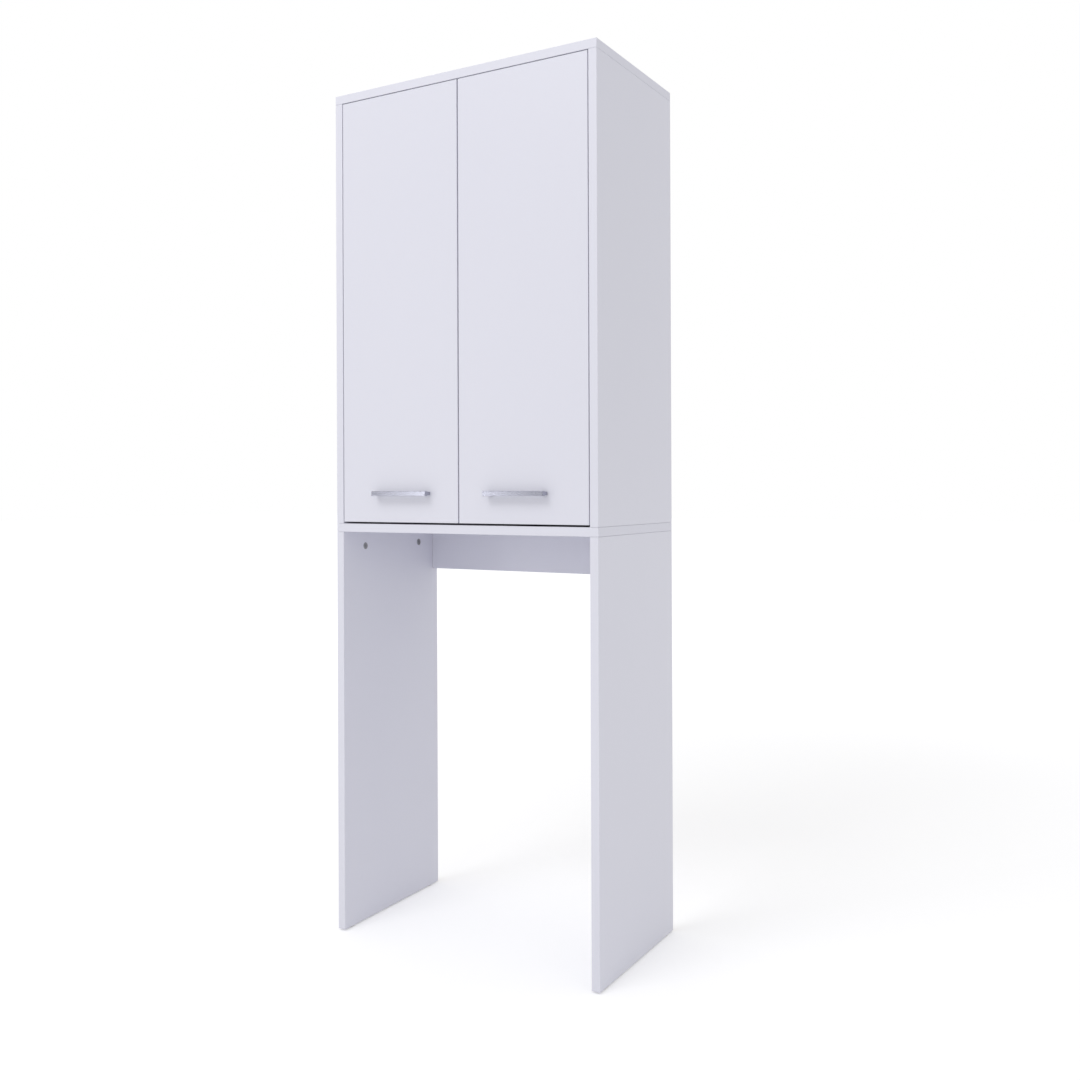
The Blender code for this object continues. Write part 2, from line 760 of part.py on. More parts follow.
def build_glides(legs):
    """A nailed disc under each end of each leg panel."""
    top = GLIDE_HEIGHT - GAP
    profile = (
        (0, top + GLIDE_NAIL_LENGTH),
        (GLIDE_NAIL_RADIUS, top + GLIDE_NAIL_LENGTH - GLIDE_NAIL_RADIUS),
        (GLIDE_NAIL_RADIUS, top),
        (GLIDE_RADIUS, top),
        (GLIDE_RADIUS, GLIDE_HEIGHT / 3),
        (GLIDE_RADIUS - GLIDE_HEIGHT / 3, 0),
        (0, 0),
    )
    for side, hand in SIDES:
        for y, word in ((FRONT + GLIDE_INSET, "front"), (BACK - GLIDE_INSET, "rear")):
            where = (side * SIDE_MIDDLE, y, 0)
            turned_part(f"glide_{hand}_{word}", profile, where, PLASTIC, ROUND_SIDES)
            low = (*where[:2], GLIDE_HEIGHT - OVERRUN)
            high = (*where[:2], GLIDE_HEIGHT + GLIDE_NAIL_LENGTH + GAP)
            nail = [(low, high, GLIDE_NAIL_RADIUS + GAP)]
            drill(f"nail_hole_{hand}_{word}", [legs[side]], nail)


def build_hangers():
    """Bent plates in the upper rear corners, flush with the rear edges, with a keyhole each."""
    plane = BACK - HANGER_THICKNESS
    front = BACK_REAR + GAP
    top = TOP_UNDERSIDE - GAP - HANGER_DROP
    for side, hand in SIDES:
        low_x, high_x = across(side, INNER - GAP - HANGER_WIDTH, INNER - GAP)
        low = top - HANGER_HEIGHT
        plate = block(
            f"wall_hanger_{hand}",
            (low_x, plane, low),
            (high_x, BACK, top),
            STEEL,
            edge=GAP,
        )
        low_x, high_x = across(side, INNER - GAP - HANGER_THICKNESS, INNER - 2 * GAP)
        flange = slab_helper(
            f"hanger_flange_{hand}",
            (low_x, front, low + GAP),
            (high_x, BACK - HANGER_THICKNESS / 2, top - GAP),
        )
        combine(plate, flange, "UNION")
        x = side * (INNER - GAP - HANGER_WIDTH / 2)
        wide = top - HANGER_HEIGHT / 2 - KEYHOLE_LENGTH / 2
        ends = (x, plane - OVERRUN, wide), (x, BACK + OVERRUN, wide)
        drill(f"keyhole_{hand}", [plate], [(*ends, KEYHOLE_RADIUS)], ROUND_SIDES)
        slot = slab_helper(
            f"keyhole_slot_{hand}",
            (x - KEYHOLE_SLOT, plane - OVERRUN, wide),
            (x + KEYHOLE_SLOT, BACK + OVERRUN, wide + KEYHOLE_LENGTH),
        )
        combine(plate, slot, "DIFFERENCE")


for old in list(bpy.data.objects):
    bpy.data.objects.remove(old)

PARTS = new_collection("bathroom_cabinet")
CUTTERS = new_collection("cutters")

LAMINATE = finish("white_laminate", (0.78, 0.78, 0.84), 0.42)
DOOR_LAMINATE = finish("door_laminate", (0.78, 0.78, 0.84), 0.38)
HARDBOARD = finish("back_board", (0.72, 0.72, 0.76), 0.6)
ALUMINIUM = finish("handle_aluminium", (0.62, 0.63, 0.68), 0.32, 1)
STEEL = finish("fitting_steel", (0.55, 0.55, 0.56), 0.3, 1)
ZINC = finish("cam_zinc", (0.45, 0.45, 0.46), 0.45, 1)
PLASTIC = finish("glide_plastic", (0.75, 0.75, 0.74), 0.5)

top_panel, bottom_panel, side_panels, leg_panels = build_carcass()
build_shelves(side_panels)
door_panels, door_axes = build_doors()
build_hinges(door_panels, door_axes)
build_top_screws(top_panel, side_panels)
build_leg_joints(bottom_panel, leg_panels)
build_glides(leg_panels)
build_hangers()
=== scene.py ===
# %% [markdown]
# # A tall bathroom cabinet in white laminated board
#
# The cabinet is flat-pack furniture: boards of chipboard pressed between two sheets of white
# melamine, with a thin plastic band ironed round the edges that show. Its solids come from the
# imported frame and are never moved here. What this lesson adds is how the surfaces look, and
# the small stamped, turned and moulded fittings that hold such a cabinet together.

import json
import math

import bmesh
import bpy
import numpy as np
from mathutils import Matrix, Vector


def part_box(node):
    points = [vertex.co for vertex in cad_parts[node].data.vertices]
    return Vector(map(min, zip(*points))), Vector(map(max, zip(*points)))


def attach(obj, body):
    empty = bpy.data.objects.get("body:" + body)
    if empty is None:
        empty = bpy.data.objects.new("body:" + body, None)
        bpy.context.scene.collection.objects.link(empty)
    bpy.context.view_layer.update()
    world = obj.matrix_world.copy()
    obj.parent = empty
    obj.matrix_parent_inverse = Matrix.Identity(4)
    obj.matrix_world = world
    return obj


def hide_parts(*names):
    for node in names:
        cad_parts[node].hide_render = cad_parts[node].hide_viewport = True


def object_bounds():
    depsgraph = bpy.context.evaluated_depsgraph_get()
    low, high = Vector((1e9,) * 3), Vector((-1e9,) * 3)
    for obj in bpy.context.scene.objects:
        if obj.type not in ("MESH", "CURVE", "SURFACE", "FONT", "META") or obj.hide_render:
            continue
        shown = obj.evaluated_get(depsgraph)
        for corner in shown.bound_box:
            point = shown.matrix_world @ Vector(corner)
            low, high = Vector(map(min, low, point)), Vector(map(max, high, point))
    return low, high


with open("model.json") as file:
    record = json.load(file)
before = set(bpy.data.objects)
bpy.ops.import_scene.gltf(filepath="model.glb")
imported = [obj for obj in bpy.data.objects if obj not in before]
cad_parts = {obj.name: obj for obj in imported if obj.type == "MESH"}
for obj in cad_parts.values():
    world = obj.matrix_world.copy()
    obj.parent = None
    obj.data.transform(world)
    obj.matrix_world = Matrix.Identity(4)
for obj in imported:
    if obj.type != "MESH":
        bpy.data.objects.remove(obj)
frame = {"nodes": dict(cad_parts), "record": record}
cad_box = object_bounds()
scene = bpy.context.scene
nodes = frame["nodes"]
sizes = np.array(cad_box[1]) - np.array(cad_box[0])
print("cabinet", np.round(sizes * 1000, 1), "mm,", len(nodes), "nodes")

# %% [markdown]
# The camera stands where the photographer's stood. The cabinet's corners in the picture fix
# its place, its turn and its lens. The lens looks straight ahead, so upright edges stay
# upright, and a small shift of the sensor slides the picture down instead of tilting it.

# %% Camera
IMAGE_SIDE = 1080
FOCAL_PIXELS = 1119.18
AXIS_ROW = 488.065
SENSOR_WIDTH = 36.0
CAMERA_PLACE = (1.28831, -2.06182, 0.96344)
CAMERA_YAW = 0.52393
CAMERA_ROLL = -0.00375

lens = bpy.data.cameras.new("camera")
lens.sensor_width = SENSOR_WIDTH
lens.lens = SENSOR_WIDTH * FOCAL_PIXELS / IMAGE_SIDE
lens.shift_y = AXIS_ROW / IMAGE_SIDE - 0.5
camera = bpy.data.objects.new("camera", lens)
camera.location = CAMERA_PLACE
camera.rotation_euler = (math.pi / 2, -CAMERA_ROLL, CAMERA_YAW)
scene.collection.objects.link(camera)
scene.camera = camera
scene.view_settings.view_transform = "Standard"
print("lens", round(lens.lens, 2), "mm, shift", round(lens.shift_y, 4))

# %% [markdown]
# A shader is a graph of small nodes. They could be wired one by one, but sums read better as
# sums: `Value` wraps one output of a node, so that `1 - mask` or `depth * 3` adds the Math
# nodes by itself.

# %% Sums on the outputs of nodes
class Value:
    """One output of a node. Arithmetic on it adds Math nodes to its graph."""

    def __init__(self, graph, socket):
        self.graph, self.socket = graph, socket

    def math(self, operation, first, second=0.0):
        return self.graph.node("Math", {"operation": operation}, {0: first, 1: second})

    def __add__(self, other):
        return self.math("ADD", self, other)

    def __radd__(self, other):
        return self.math("ADD", other, self)

    def __sub__(self, other):
        return self.math("SUBTRACT", self, other)

    def __rsub__(self, other):
        return self.math("SUBTRACT", other, self)

    def __mul__(self, other):
        return self.math("MULTIPLY", self, other)

    def __rmul__(self, other):
        return self.math("MULTIPLY", other, self)

    def __abs__(self):
        return self.math("ABSOLUTE", self)

    def least(self, other):
        return self.math("MINIMUM", self, other)

    def most(self, other):
        return self.math("MAXIMUM", self, other)

    def rise(self, start, end):
        """0 up to start, 1 from end on, and an S-shaped step between them."""
        limits = {"Value": self, "From Min": start, "From Max": end}
        return self.graph.node("MapRange", {"interpolation_type": "SMOOTHSTEP"}, limits)

    def other(self, name):
        """Another output of the same node."""
        return Value(self.graph, self.socket.node.outputs[name])


print("Value ready")

# %% [markdown]
# `Graph` holds the nodes of one material or of the world. Its one method adds a node of any
# kind: first the settings are made, because some of them change the sockets, and then the
# sockets take numbers or links.

# %% One method for every other node
class Graph:
    """The nodes of a material or a world."""

    def __init__(self, owner):
        owner.use_nodes = True
        self.owner, self.tree = owner, owner.node_tree
        self.tree.nodes.clear()

    def node(self, kind, settings=None, sockets=None, output=0):
        """Adds a node, makes its settings, fills its sockets, and gives one output back."""
        made = self.tree.nodes.new(f"ShaderNode{kind}")
        for name, value in (settings or {}).items():
            if name == "stops":
                self.set_stops(made.color_ramp.elements, value)
            else:
                setattr(made, name, value)
        for key, value in (sockets or {}).items():
            if isinstance(value, Value):
                self.tree.links.new(value.socket, made.inputs[key])
            else:
                made.inputs[key].default_value = value
        return Value(self, made.outputs[output])

    def set_stops(self, elements, stops):
        """Fills a colour ramp with (position, colour) stops."""
        while len(elements) < len(stops):
            elements.new(1.0)
        for element, (position, colour) in zip(elements, stops):
            element.position = position
            element.color = (*colour, 1)

    def finish(self, surface, kind="Material"):
        """Links a shader to the graph's output and gives the material or world back."""
        out = self.tree.nodes.new(f"ShaderNodeOutput{kind}")
        self.tree.links.new(surface.socket, out.inputs["Surface"])
        return self.owner


print("Graph ready")

# %% [markdown]
# A finish could be a picture wrapped round each board, but then every board needs unwrapping,
# and a picture is coarse from near by. Noise that is worked out in metres on Object
# coordinates has its real size on every piece, and moves along when a door swings.

# %% Patterns in metres
METRE = 1.0
NOISE_MIDDLE = 0.5


class Finish(Graph):
    """A material whose patterns are laid out in metres on the cabinet at rest."""

    def __init__(self, name):
        super().__init__(bpy.data.materials.new(name))
        self.place = self.node("TexCoord", output="Object")

    def axes(self):
        """The X, Y and Z of the place."""
        x = self.node("SeparateXYZ", None, {0: self.place})
        return x, x.other("Y"), x.other("Z")

    def stretched(self, counts):
        """The place, scaled by so many pattern cells to the metre along X, Y and Z."""
        return self.node("Mapping", None, {"Vector": self.place, "Scale": counts})

    def noise(self, counts, detail=2.0):
        """Cloudy noise round 0, from about -0.5 to 0.5, with so many clouds to the metre."""
        sockets = {"Vector": self.stretched(counts), "Scale": 1.0, "Detail": detail}
        return self.node("TexNoise", None, sockets) - NOISE_MIDDLE

    def tint(self, factor, first, second):
        """A colour between two colours."""
        first, second = (c if isinstance(c, Value) else (*c, 1) for c in (first, second))
        sockets = {0: factor, 6: first, 7: second}
        return self.node("Mix", {"data_type": "RGBA"}, sockets, output=2)

    def bump(self, height):
        """The normal of a surface whose height is given in metres."""
        return self.node("Bump", None, {"Height": height, "Distance": METRE})

    def shade(self, **sockets):
        """Ends the graph in a Principled shader."""
        named = {name.replace("_", " "): value for name, value in sockets.items()}
        return self.finish(self.node("BsdfPrincipled", None, named))


print("Finish ready")

# %% [markdown]
# The studio is a white floor in a white room. More light would whiten the floor, but it would
# burn out the boards too. So the floor is pale paper that glows only where it is looked at,
# straight or in a mirror, by what it lacks to meet the white behind it. No horizon shows,
# and a soft shadow still gathers under the leg panels.

# %% Floor
FLOOR_SIDE = 60.0
FLOOR_DROP = 0.0002
FLOOR_WHITE = (0.86, 0.86, 0.87, 1)
GLOW_NEAR = 0.27
GLOW_FAR = 0.42
GLOW_REACH = (0.8, 6.0)


def make_floor():
    """A square sheet just under the glides: four corners at half its side, in glowing paper."""
    signs = np.array(((-1, -1), (1, -1), (1, 1), (-1, 1)))
    corners = np.column_stack((signs * FLOOR_SIDE / 2, np.full(4, -FLOOR_DROP)))
    mesh = bpy.data.meshes.new("floor")
    mesh.from_pydata(corners.tolist(), [], [(0, 1, 2, 3)])
    floor = bpy.data.objects.new("floor", mesh)
    scene.collection.objects.link(floor)
    paper = Finish("studio_paper")
    seen = paper.node("LightPath", output="Is Camera Ray")
    seen = seen.most(seen.other("Is Glossy Ray")).most(seen.other("Is Transmission Ray"))
    away = paper.node("VectorMath", {"operation": "LENGTH"}, {0: paper.place}, output="Value")
    glow = seen * (GLOW_NEAR + (GLOW_FAR - GLOW_NEAR) * away.rise(*GLOW_REACH))
    matt = paper.node("BsdfDiffuse", None, {"Color": FLOOR_WHITE})
    light = paper.node("Emission", None, {"Strength": glow})
    mesh.materials.append(paper.finish(paper.node("AddShader", None, {0: matt, 1: light})))


make_floor()
print("floor", FLOOR_SIDE, "m a side")

# %% [markdown]
# The room lights the cabinet evenly from all round, at a level a little under 1, so that the
# pale boards don't burn out. The camera sees it pure white. Bright metal in an all-white box
# would look flat, so a mirror sees three things in it: the white backdrop behind the cabinet,
# a half-bright ceiling, and the dim studio on the camera's side.

# %% Room
ROOM_WHITE = (1, 1, 1, 1)
ROOM_LEVEL = 0.792
MIRROR_LEVEL = 0.16
BACKDROP_FACING = (-0.5, 0.866, 0.0)
BACKDROP_EDGE = (0.05, 0.6)
CEILING_LEVEL = 0.50
CEILING_EDGE = (0.10, 0.70)


def make_room():
    """One strength for the camera's rays, one for mirrors, by the ray's heading, and one for
    the light that falls on the cabinet."""
    room = Graph(bpy.data.worlds.new("room"))
    seen = room.node("LightPath", output="Is Camera Ray")
    mirror = seen.other("Is Glossy Ray").most(seen.other("Is Transmission Ray"))
    heading = room.node("TexCoord", output="Generated")
    facing = room.node(
        "VectorMath", {"operation": "DOT_PRODUCT"}, {0: heading, 1: BACKDROP_FACING}, "Value"
    )
    ceiling = room.node("SeparateXYZ", None, {0: heading}, "Z").rise(*CEILING_EDGE)
    pale = facing.rise(*BACKDROP_EDGE).most(ceiling * CEILING_LEVEL)
    mirrored = MIRROR_LEVEL + (1 - MIRROR_LEVEL) * pale
    level = seen + (1 - seen) * (mirror * mirrored + (1 - mirror) * ROOM_LEVEL)
    light = room.node("Background", None, {"Color": ROOM_WHITE, "Strength": level})
    scene.world = room.finish(light, "World")


make_room()
print("room level", ROOM_LEVEL)

# %% [markdown]
# A softbox up in front lifts the doors over the side, which only the room lights. A narrow
# strip stands to the left at eye height for one job: its reflection is the pale band that
# slides along the brushed handles.

# %% Lamps
AIM = (0.0, 0.0, 1.05)
KEY = {"place": (-0.7, -2.9, 3.9), "size": (1.8, 1.6), "watts": 35.5}
STRIP = {"place": (-2.16, -3.3, 1.3), "size": (0.26, 1.6), "watts": 6.2}


def make_lamp(name, place, size, watts):
    """A rectangular softbox turned towards the middle of the cabinet."""
    data = bpy.data.lights.new(name, "AREA")
    data.shape = "RECTANGLE"
    data.size, data.size_y = size
    data.energy = watts
    lamp = bpy.data.objects.new(name, data)
    lamp.location = place
    aim = Vector(AIM) - lamp.location
    lamp.rotation_euler = aim.to_track_quat("-Z", "Y").to_euler()
    scene.collection.objects.link(lamp)


make_lamp("key", **KEY)
make_lamp("strip", **STRIP)
print("lamps", KEY["watts"], "and", STRIP["watts"], "watts")

# %% [markdown]
# Melamine board is white paper and resin pressed on chipboard. Its face has a faint pearl,
# about half a millimetre across, which softens reflections, and hardly any colour of its
# own. Where the board is drilled, grooved or left without a band, the chips show. An end that
# only meets another board shows as a seam at most, and stays white. The boards are boxes, so
# the distance of a point from its box's faces tells face, band and cut apart.

# %% Distances inside a board
PAPER = 0.0003
CUT_DEPTH = (0.00034, 0.00044)
CORNER_REACH = (0.0006, 0.0009)
BAND = 0.0012
BAND_LINE = (0.00004, 0.00014)


def face_distances(finish, node):
    """How far a point lies from a board's low and high faces along each axis: to each of
    the six faces, and to the nearer one of each pair."""
    low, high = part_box(node)
    sides = [(at - low[i], high[i] - at) for i, at in enumerate(finish.axes())]
    return sides, [before.least(after) for before, after in sides]


def raw_share(sides, near, raw_faces):
    """1 where chips show: deeper than the paper in any hole or groove, or on a face that has
    no band, inside the paper's thickness."""
    share = near[0].least(near[1]).least(near[2]).rise(*CUT_DEPTH)
    for axis, end in raw_faces:
        at_face = 1 - sides[axis][end].rise(*CORNER_REACH)
        others = [near[i] for i in range(3) if i != axis]
        share = share.most(at_face * others[0].least(others[1]).rise(PAPER / 2, PAPER))
    return share


def band_line(near, thin, banded_axes):
    """A hairline on the big faces where the edge band's plastic ends and the paper begins."""
    on_face = 1 - near[thin].rise(*BAND_LINE)
    joint = 1 - abs(near[banded_axes[0]] - BAND).rise(*BAND_LINE)
    for axis in banded_axes[1:]:
        joint = joint.most(1 - abs(near[axis] - BAND).rise(*BAND_LINE))
    return joint * on_face


print("board distances ready")

# %% [markdown]
# Chipboard is flakes of wood lying flat in glue, longer than they are thick. Voronoi cells,
# squeezed along the board's thickness, stand for the flakes: each cell has one shade of a
# ramp from dark resin to pale pine, and rises a little from its middle to its rim.

# %% Chips
CHIPS_ALONG = 330
CHIPS_THROUGH = 1100
CHIP_STOPS = (
    (0.0, (0.15, 0.085, 0.04)),
    (0.4, (0.36, 0.23, 0.12)),
    (1.0, (0.62, 0.46, 0.28)),
)
CHIP_RELIEF = 0.00025


def chips(finish, thin):
    """The colour and height of chipboard whose flakes lie square to the thin axis."""
    counts = [CHIPS_ALONG] * 3
    counts[thin] = CHIPS_THROUGH
    where = finish.stretched(tuple(counts))
    cell = finish.node("TexVoronoi", None, {"Vector": where, "Scale": 1.0}, "Color")
    shade = finish.node("SeparateColor", None, {0: cell}, "Red")
    colour = finish.node("ValToRGB", {"stops": CHIP_STOPS}, {0: shade})
    return colour, cell.other("Distance")


print("chips ready")

# %% [markdown]
# One material could serve all the boards, but each board has its own box and so its own
# distances. So every board gets one: white with slow clouds that the eye hardly sees, a
# shadow line where a band ends, the pearl, and chips where the board is raw. The table gives
# each board's thin axis, its raw faces and the axes along which its edges are banded.

# %% Board finish
BOARD_WHITE = (0.770, 0.770, 0.850)
BOARD_CLOUD = (0.745, 0.748, 0.838)
CLOUD_COUNTS = (4, 4, 3)
CLOUD_SHARE = 0.5
SMALL_CLOUD_COUNTS = (70, 70, 70)
SMALL_CLOUD_SHARE = 0.3
BAND_SHADOW = (0.60, 0.60, 0.66)
BAND_SHADOW_SHARE = 0.45
BOARD_GLOSS = 0.40
BAND_GLOSS = 0.50
RAW_GLOSS = 0.92
GLOSS_CLOUD_COUNTS = (9, 9, 5)
GLOSS_SPREAD = 0.06
PEARL_COUNTS = (1700, 1700, 1700)
PEARL_DETAIL = 1.0
PEARL_RELIEF = 0.000012


def board_finish(node, thin, raw_faces, banded_axes):
    """White melamine on one board, with bands, raw edges and cuts in their places."""
    finish = Finish(f"board_{node}")
    sides, near = face_distances(finish, node)
    raw = raw_share(sides, near, raw_faces)
    line = band_line(near, thin, banded_axes)
    clouds = NOISE_MIDDLE + finish.noise(CLOUD_COUNTS)
    clouds = clouds + finish.noise(SMALL_CLOUD_COUNTS) * SMALL_CLOUD_SHARE
    white = finish.tint(clouds * CLOUD_SHARE, BOARD_WHITE, BOARD_CLOUD)
    white = finish.tint(line * BAND_SHADOW_SHARE, white, BAND_SHADOW)
    wood, relief = chips(finish, thin)
    colour = finish.tint(raw, white, wood)
    gloss = BOARD_GLOSS + (BAND_GLOSS - BOARD_GLOSS) * near[thin].rise(*BAND_LINE)
    gloss = gloss + finish.noise(GLOSS_CLOUD_COUNTS) * GLOSS_SPREAD
    gloss = gloss * (1 - raw) + RAW_GLOSS * raw
    pearl = finish.noise(PEARL_COUNTS, PEARL_DETAIL) * PEARL_RELIEF
    height = pearl * (1 - raw) + relief * raw * CHIP_RELIEF - line * PEARL_RELIEF
    return finish.shade(Base_Color=colour, Roughness=gloss, Normal=finish.bump(height))


X, Y, Z = range(3)
LOW, HIGH = range(2)
REAR, TOP_END = (Y, HIGH), (Z, HIGH)
BOTH_ENDS = ((X, LOW), (X, HIGH))
BOARDS = {
    "top_panel": (Z, (REAR,), (Y, X)),
    "bottom_panel": (Z, (REAR,), (Y, X)),
    "side_panel_left": (X, (REAR,), (Y, Z)),
    "side_panel_right": (X, (REAR,), (Y, Z)),
    "leg_panel_left": (X, (REAR,), (Y,)),
    "leg_panel_right": (X, (REAR,), (Y,)),
    "rear_rail": (Y, (*BOTH_ENDS, TOP_END), (Z,)),
    "shelf_lower": (Z, (REAR, *BOTH_ENDS), (Y,)),
    "shelf_upper": (Z, (REAR, *BOTH_ENDS), (Y,)),
    "left_door": (Y, (), (X, Z)),
    "right_door": (Y, (), (X, Z)),
}
for name, (thin, raw_faces, banded_axes) in BOARDS.items():
    nodes[name].material_slots[0].material = board_finish(name, thin, raw_faces, banded_axes)
print("boards finished:", len(BOARDS))

# %% [markdown]
# The back is three millimetres of hardboard: white lacquer towards the shelves, and bare
# brown fibre towards the wall. Two materials would need the sheet's faces sorted, so one
# material changes over at the middle of the sheet's thickness. The felt is two noises drawn
# out along different axes, like fibres that lie across each other.

# %% Hardboard
LACQUER = (0.74, 0.74, 0.81)
LACQUER_CLOUD = (0.71, 0.71, 0.79)
LACQUER_CLOUD_COUNTS = (6, 6, 6)
LACQUER_EDGE = 0.0003
LACQUER_GLOSS = 0.5
FIBRE_STOPS = (
    (0.25, (0.13, 0.075, 0.038)),
    (0.5, (0.22, 0.135, 0.07)),
    (0.8, (0.31, 0.2, 0.115)),
)
FIBRE_GLOSS = 0.8
UPRIGHT_FIBRE_COUNTS = (900, 900, 260)
LEVEL_FIBRE_COUNTS = (260, 900, 900)
FELT_DETAIL = 3.0
FELT_RELIEF = 0.00008
FELT_UNDER_LACQUER = 0.2


def hardboard():
    """White on the front half of the sheet and felted brown fibre on the rear half."""
    finish = Finish("back_board")
    low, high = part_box("back_panel")
    middle = (low.y + high.y) / 2
    rear = finish.axes()[Y].rise(middle - LACQUER_EDGE, middle + LACQUER_EDGE)
    upright = finish.noise(UPRIGHT_FIBRE_COUNTS, FELT_DETAIL)
    felt = upright + finish.noise(LEVEL_FIBRE_COUNTS, FELT_DETAIL)
    fibre = finish.node("ValToRGB", {"stops": FIBRE_STOPS}, {0: NOISE_MIDDLE + felt})
    clouds = NOISE_MIDDLE + finish.noise(LACQUER_CLOUD_COUNTS)
    white = finish.tint(clouds, LACQUER, LACQUER_CLOUD)
    relief = FELT_UNDER_LACQUER + (1 - FELT_UNDER_LACQUER) * rear
    height = felt * relief * FELT_RELIEF
    gloss = LACQUER_GLOSS + (FIBRE_GLOSS - LACQUER_GLOSS) * rear
    colour = finish.tint(rear, white, fibre)
    return finish.shade(Base_Color=colour, Roughness=gloss, Normal=finish.bump(height))


nodes["back_panel"].material_slots[0].material = hardboard()
print("back finished")

# %% [markdown]
# The handles are anodised aluminium, brushed along their length. The brush leaves grooves
# far longer than they are wide, so two noises are drawn out along X: one for the single
# grooves, and a slower one for the streaks of shade and gloss that the eye picks out.

# %% Brushed aluminium
ALUMINIUM = (0.450, 0.455, 0.530)
ALUMINIUM_DARK = (0.405, 0.41, 0.48)
GROOVE_COUNTS = (16, 6400, 6400)
GROOVE_SHARE = 0.5
STREAK_COUNTS = (5, 2400, 2400)
BRUSH_GLOSS = 0.22
BRUSH_SPREAD = 0.02
BRUSH_RELIEF = 0.0000002


def brushed_aluminium():
    """Long fine grooves with slower streaks of shade among them."""
    finish = Finish("brushed_aluminium")
    grooves, streaks = finish.noise(GROOVE_COUNTS), finish.noise(STREAK_COUNTS)
    shade = NOISE_MIDDLE + streaks + grooves * GROOVE_SHARE
    colour = finish.tint(shade, ALUMINIUM, ALUMINIUM_DARK)
    gloss = BRUSH_GLOSS + streaks * BRUSH_SPREAD + grooves * BRUSH_SPREAD
    normal = finish.bump((grooves + streaks) * BRUSH_RELIEF)
    return finish.shade(Base_Color=colour, Roughness=gloss, Metallic=1.0, Normal=normal)


aluminium = brushed_aluminium()
for hand in ("left", "right"):
    nodes[f"{hand}_handle"].material_slots[0].material = aluminium
print("handles finished")

# %% [markdown]
# Stamped steel is plated with bright nickel, which keeps a little of the rolled sheet's
# grain and is never quite even. Die-cast zinc is greyer and grainy. Glides are moulded from
# white plastic with a soft, slightly waxy face. One function makes all three, because they
# differ only in their shades, their grain and their gloss.

# %% Nickel, zinc and plastic
NICKEL = (0.60, 0.585, 0.56)
NICKEL_DARK = (0.47, 0.46, 0.45)
NICKEL_FACE = {"counts": (900, 900, 5000), "gloss": 0.24, "spread": 0.14, "relief": 0.000006}
ZINC = (0.44, 0.44, 0.45)
ZINC_DARK = (0.33, 0.33, 0.34)
ZINC_FACE = {"counts": (2600, 2600, 2600), "gloss": 0.46, "spread": 0.2, "relief": 0.00003}
MOULDED = (0.75, 0.75, 0.74)
MOULDED_CLOUD = (0.70, 0.70, 0.69)
MOULDED_FACE = {"counts": (1800, 1800, 1800), "gloss": 0.5, "spread": 0.1, "relief": 0.00002}
MOTTLE_COUNTS = (90, 90, 90)
MOTTLE_MIDDLE = 0.4
GRAIN_DETAIL = 3.0
GRAIN_SHARE = 0.6


def mottled(name, first, second, counts, gloss, spread, relief, metallic=1.0):
    """A finish between two shades, with cloudy gloss and a fine grain of its own height."""
    finish = Finish(name)
    clouds, grain = finish.noise(MOTTLE_COUNTS), finish.noise(counts, GRAIN_DETAIL)
    colour = finish.tint(MOTTLE_MIDDLE + clouds + grain * GRAIN_SHARE, first, second)
    rough = gloss + clouds * spread + grain * spread
    normal = finish.bump(grain * relief)
    return finish.shade(Base_Color=colour, Roughness=rough, Metallic=metallic, Normal=normal)


nickel = mottled("nickel_plate", NICKEL, NICKEL_DARK, **NICKEL_FACE)
zinc = mottled("cast_zinc", ZINC, ZINC_DARK, **ZINC_FACE)
moulded = mottled("moulded_plastic", MOULDED, MOULDED_CLOUD, **MOULDED_FACE, metallic=0.0)
looks = {"fitting_steel": nickel, "cam_zinc": zinc, "glide_plastic": moulded}
for part in frame["record"]["subparts"]:
    if part["material_slot"] in looks:
        nodes[part["node"]].material_slots[0].material = looks[part["material_slot"]]
print("fittings finished in", ", ".join(looks))

# %% [markdown]
# The fittings are stamped, turned or cast round an axis, so each is a stack of rings. A ring
# is a closed outline seen along the axis, and the next ring is the same outline, wider or
# narrower, a little further on. The rings are the rows of a grid of points, and the angles
# round the axis are its columns. Spinning a profile could only make round pieces, but this
# one rule gives a cup with ears, a screw with its cross and a drum alike.

# %% Rings on a grid
FULL_TURN = 2 * math.pi
QUARTER_TURN = FULL_TURN / 4
COLUMNS = 96
ANGLES = np.arange(COLUMNS) * FULL_TURN / COLUMNS
EASE_STEPS = np.radians((0, 30, 60, 90))
TINY = 1e-9


def stack(rings, angles=ANGLES):
    """A grid of points round Z with a row to each (outline, height). An outline is a radius,
    or one radius to each angle, and its points lie at radius times cosine and sine."""
    radii = np.array([np.broadcast_to(outline, angles.shape) for outline, _ in rings])
    heights = np.array([np.broadcast_to(height, angles.shape) for _, height in rings])
    return np.stack((radii * np.cos(angles), radii * np.sin(angles), heights), axis=-1)


def eased(outline, height, ease, up=1):
    """Rings from a side to a flat end round a quarter circle of radius ease. The end faces
    up, or down for up of -1."""
    return [
        (outline - ease * (1 - math.cos(step)), height - up * ease * (1 - math.sin(step)))
        for step in EASE_STEPS
    ]


def disc(outline, low, high, ease):
    """A closed slab with this outline from low to high, its edges eased."""
    under = reversed(eased(outline, low, ease, -1))
    return [(0, low), *under, *eased(outline, high, ease), (0, high)]


def placed(grid, origin, out, across):
    """The grid turned so that its Z points out and its X across, and moved to the origin."""
    return grid @ np.array((across, np.cross(out, across), out), dtype=float) + origin


print("rings of", COLUMNS, "columns")

# %% [markdown]
# Where a row is a single point, as at a cap's middle, all its corners fall together. Merging
# doubles turns those into one pole, and the caps are closed. After that the normals are
# worked out afresh, because a mirrored or backward grid would be inside out.

# %% Grids to meshes
MERGE = 0.000002
SMOOTH_UNDER = math.radians(32)


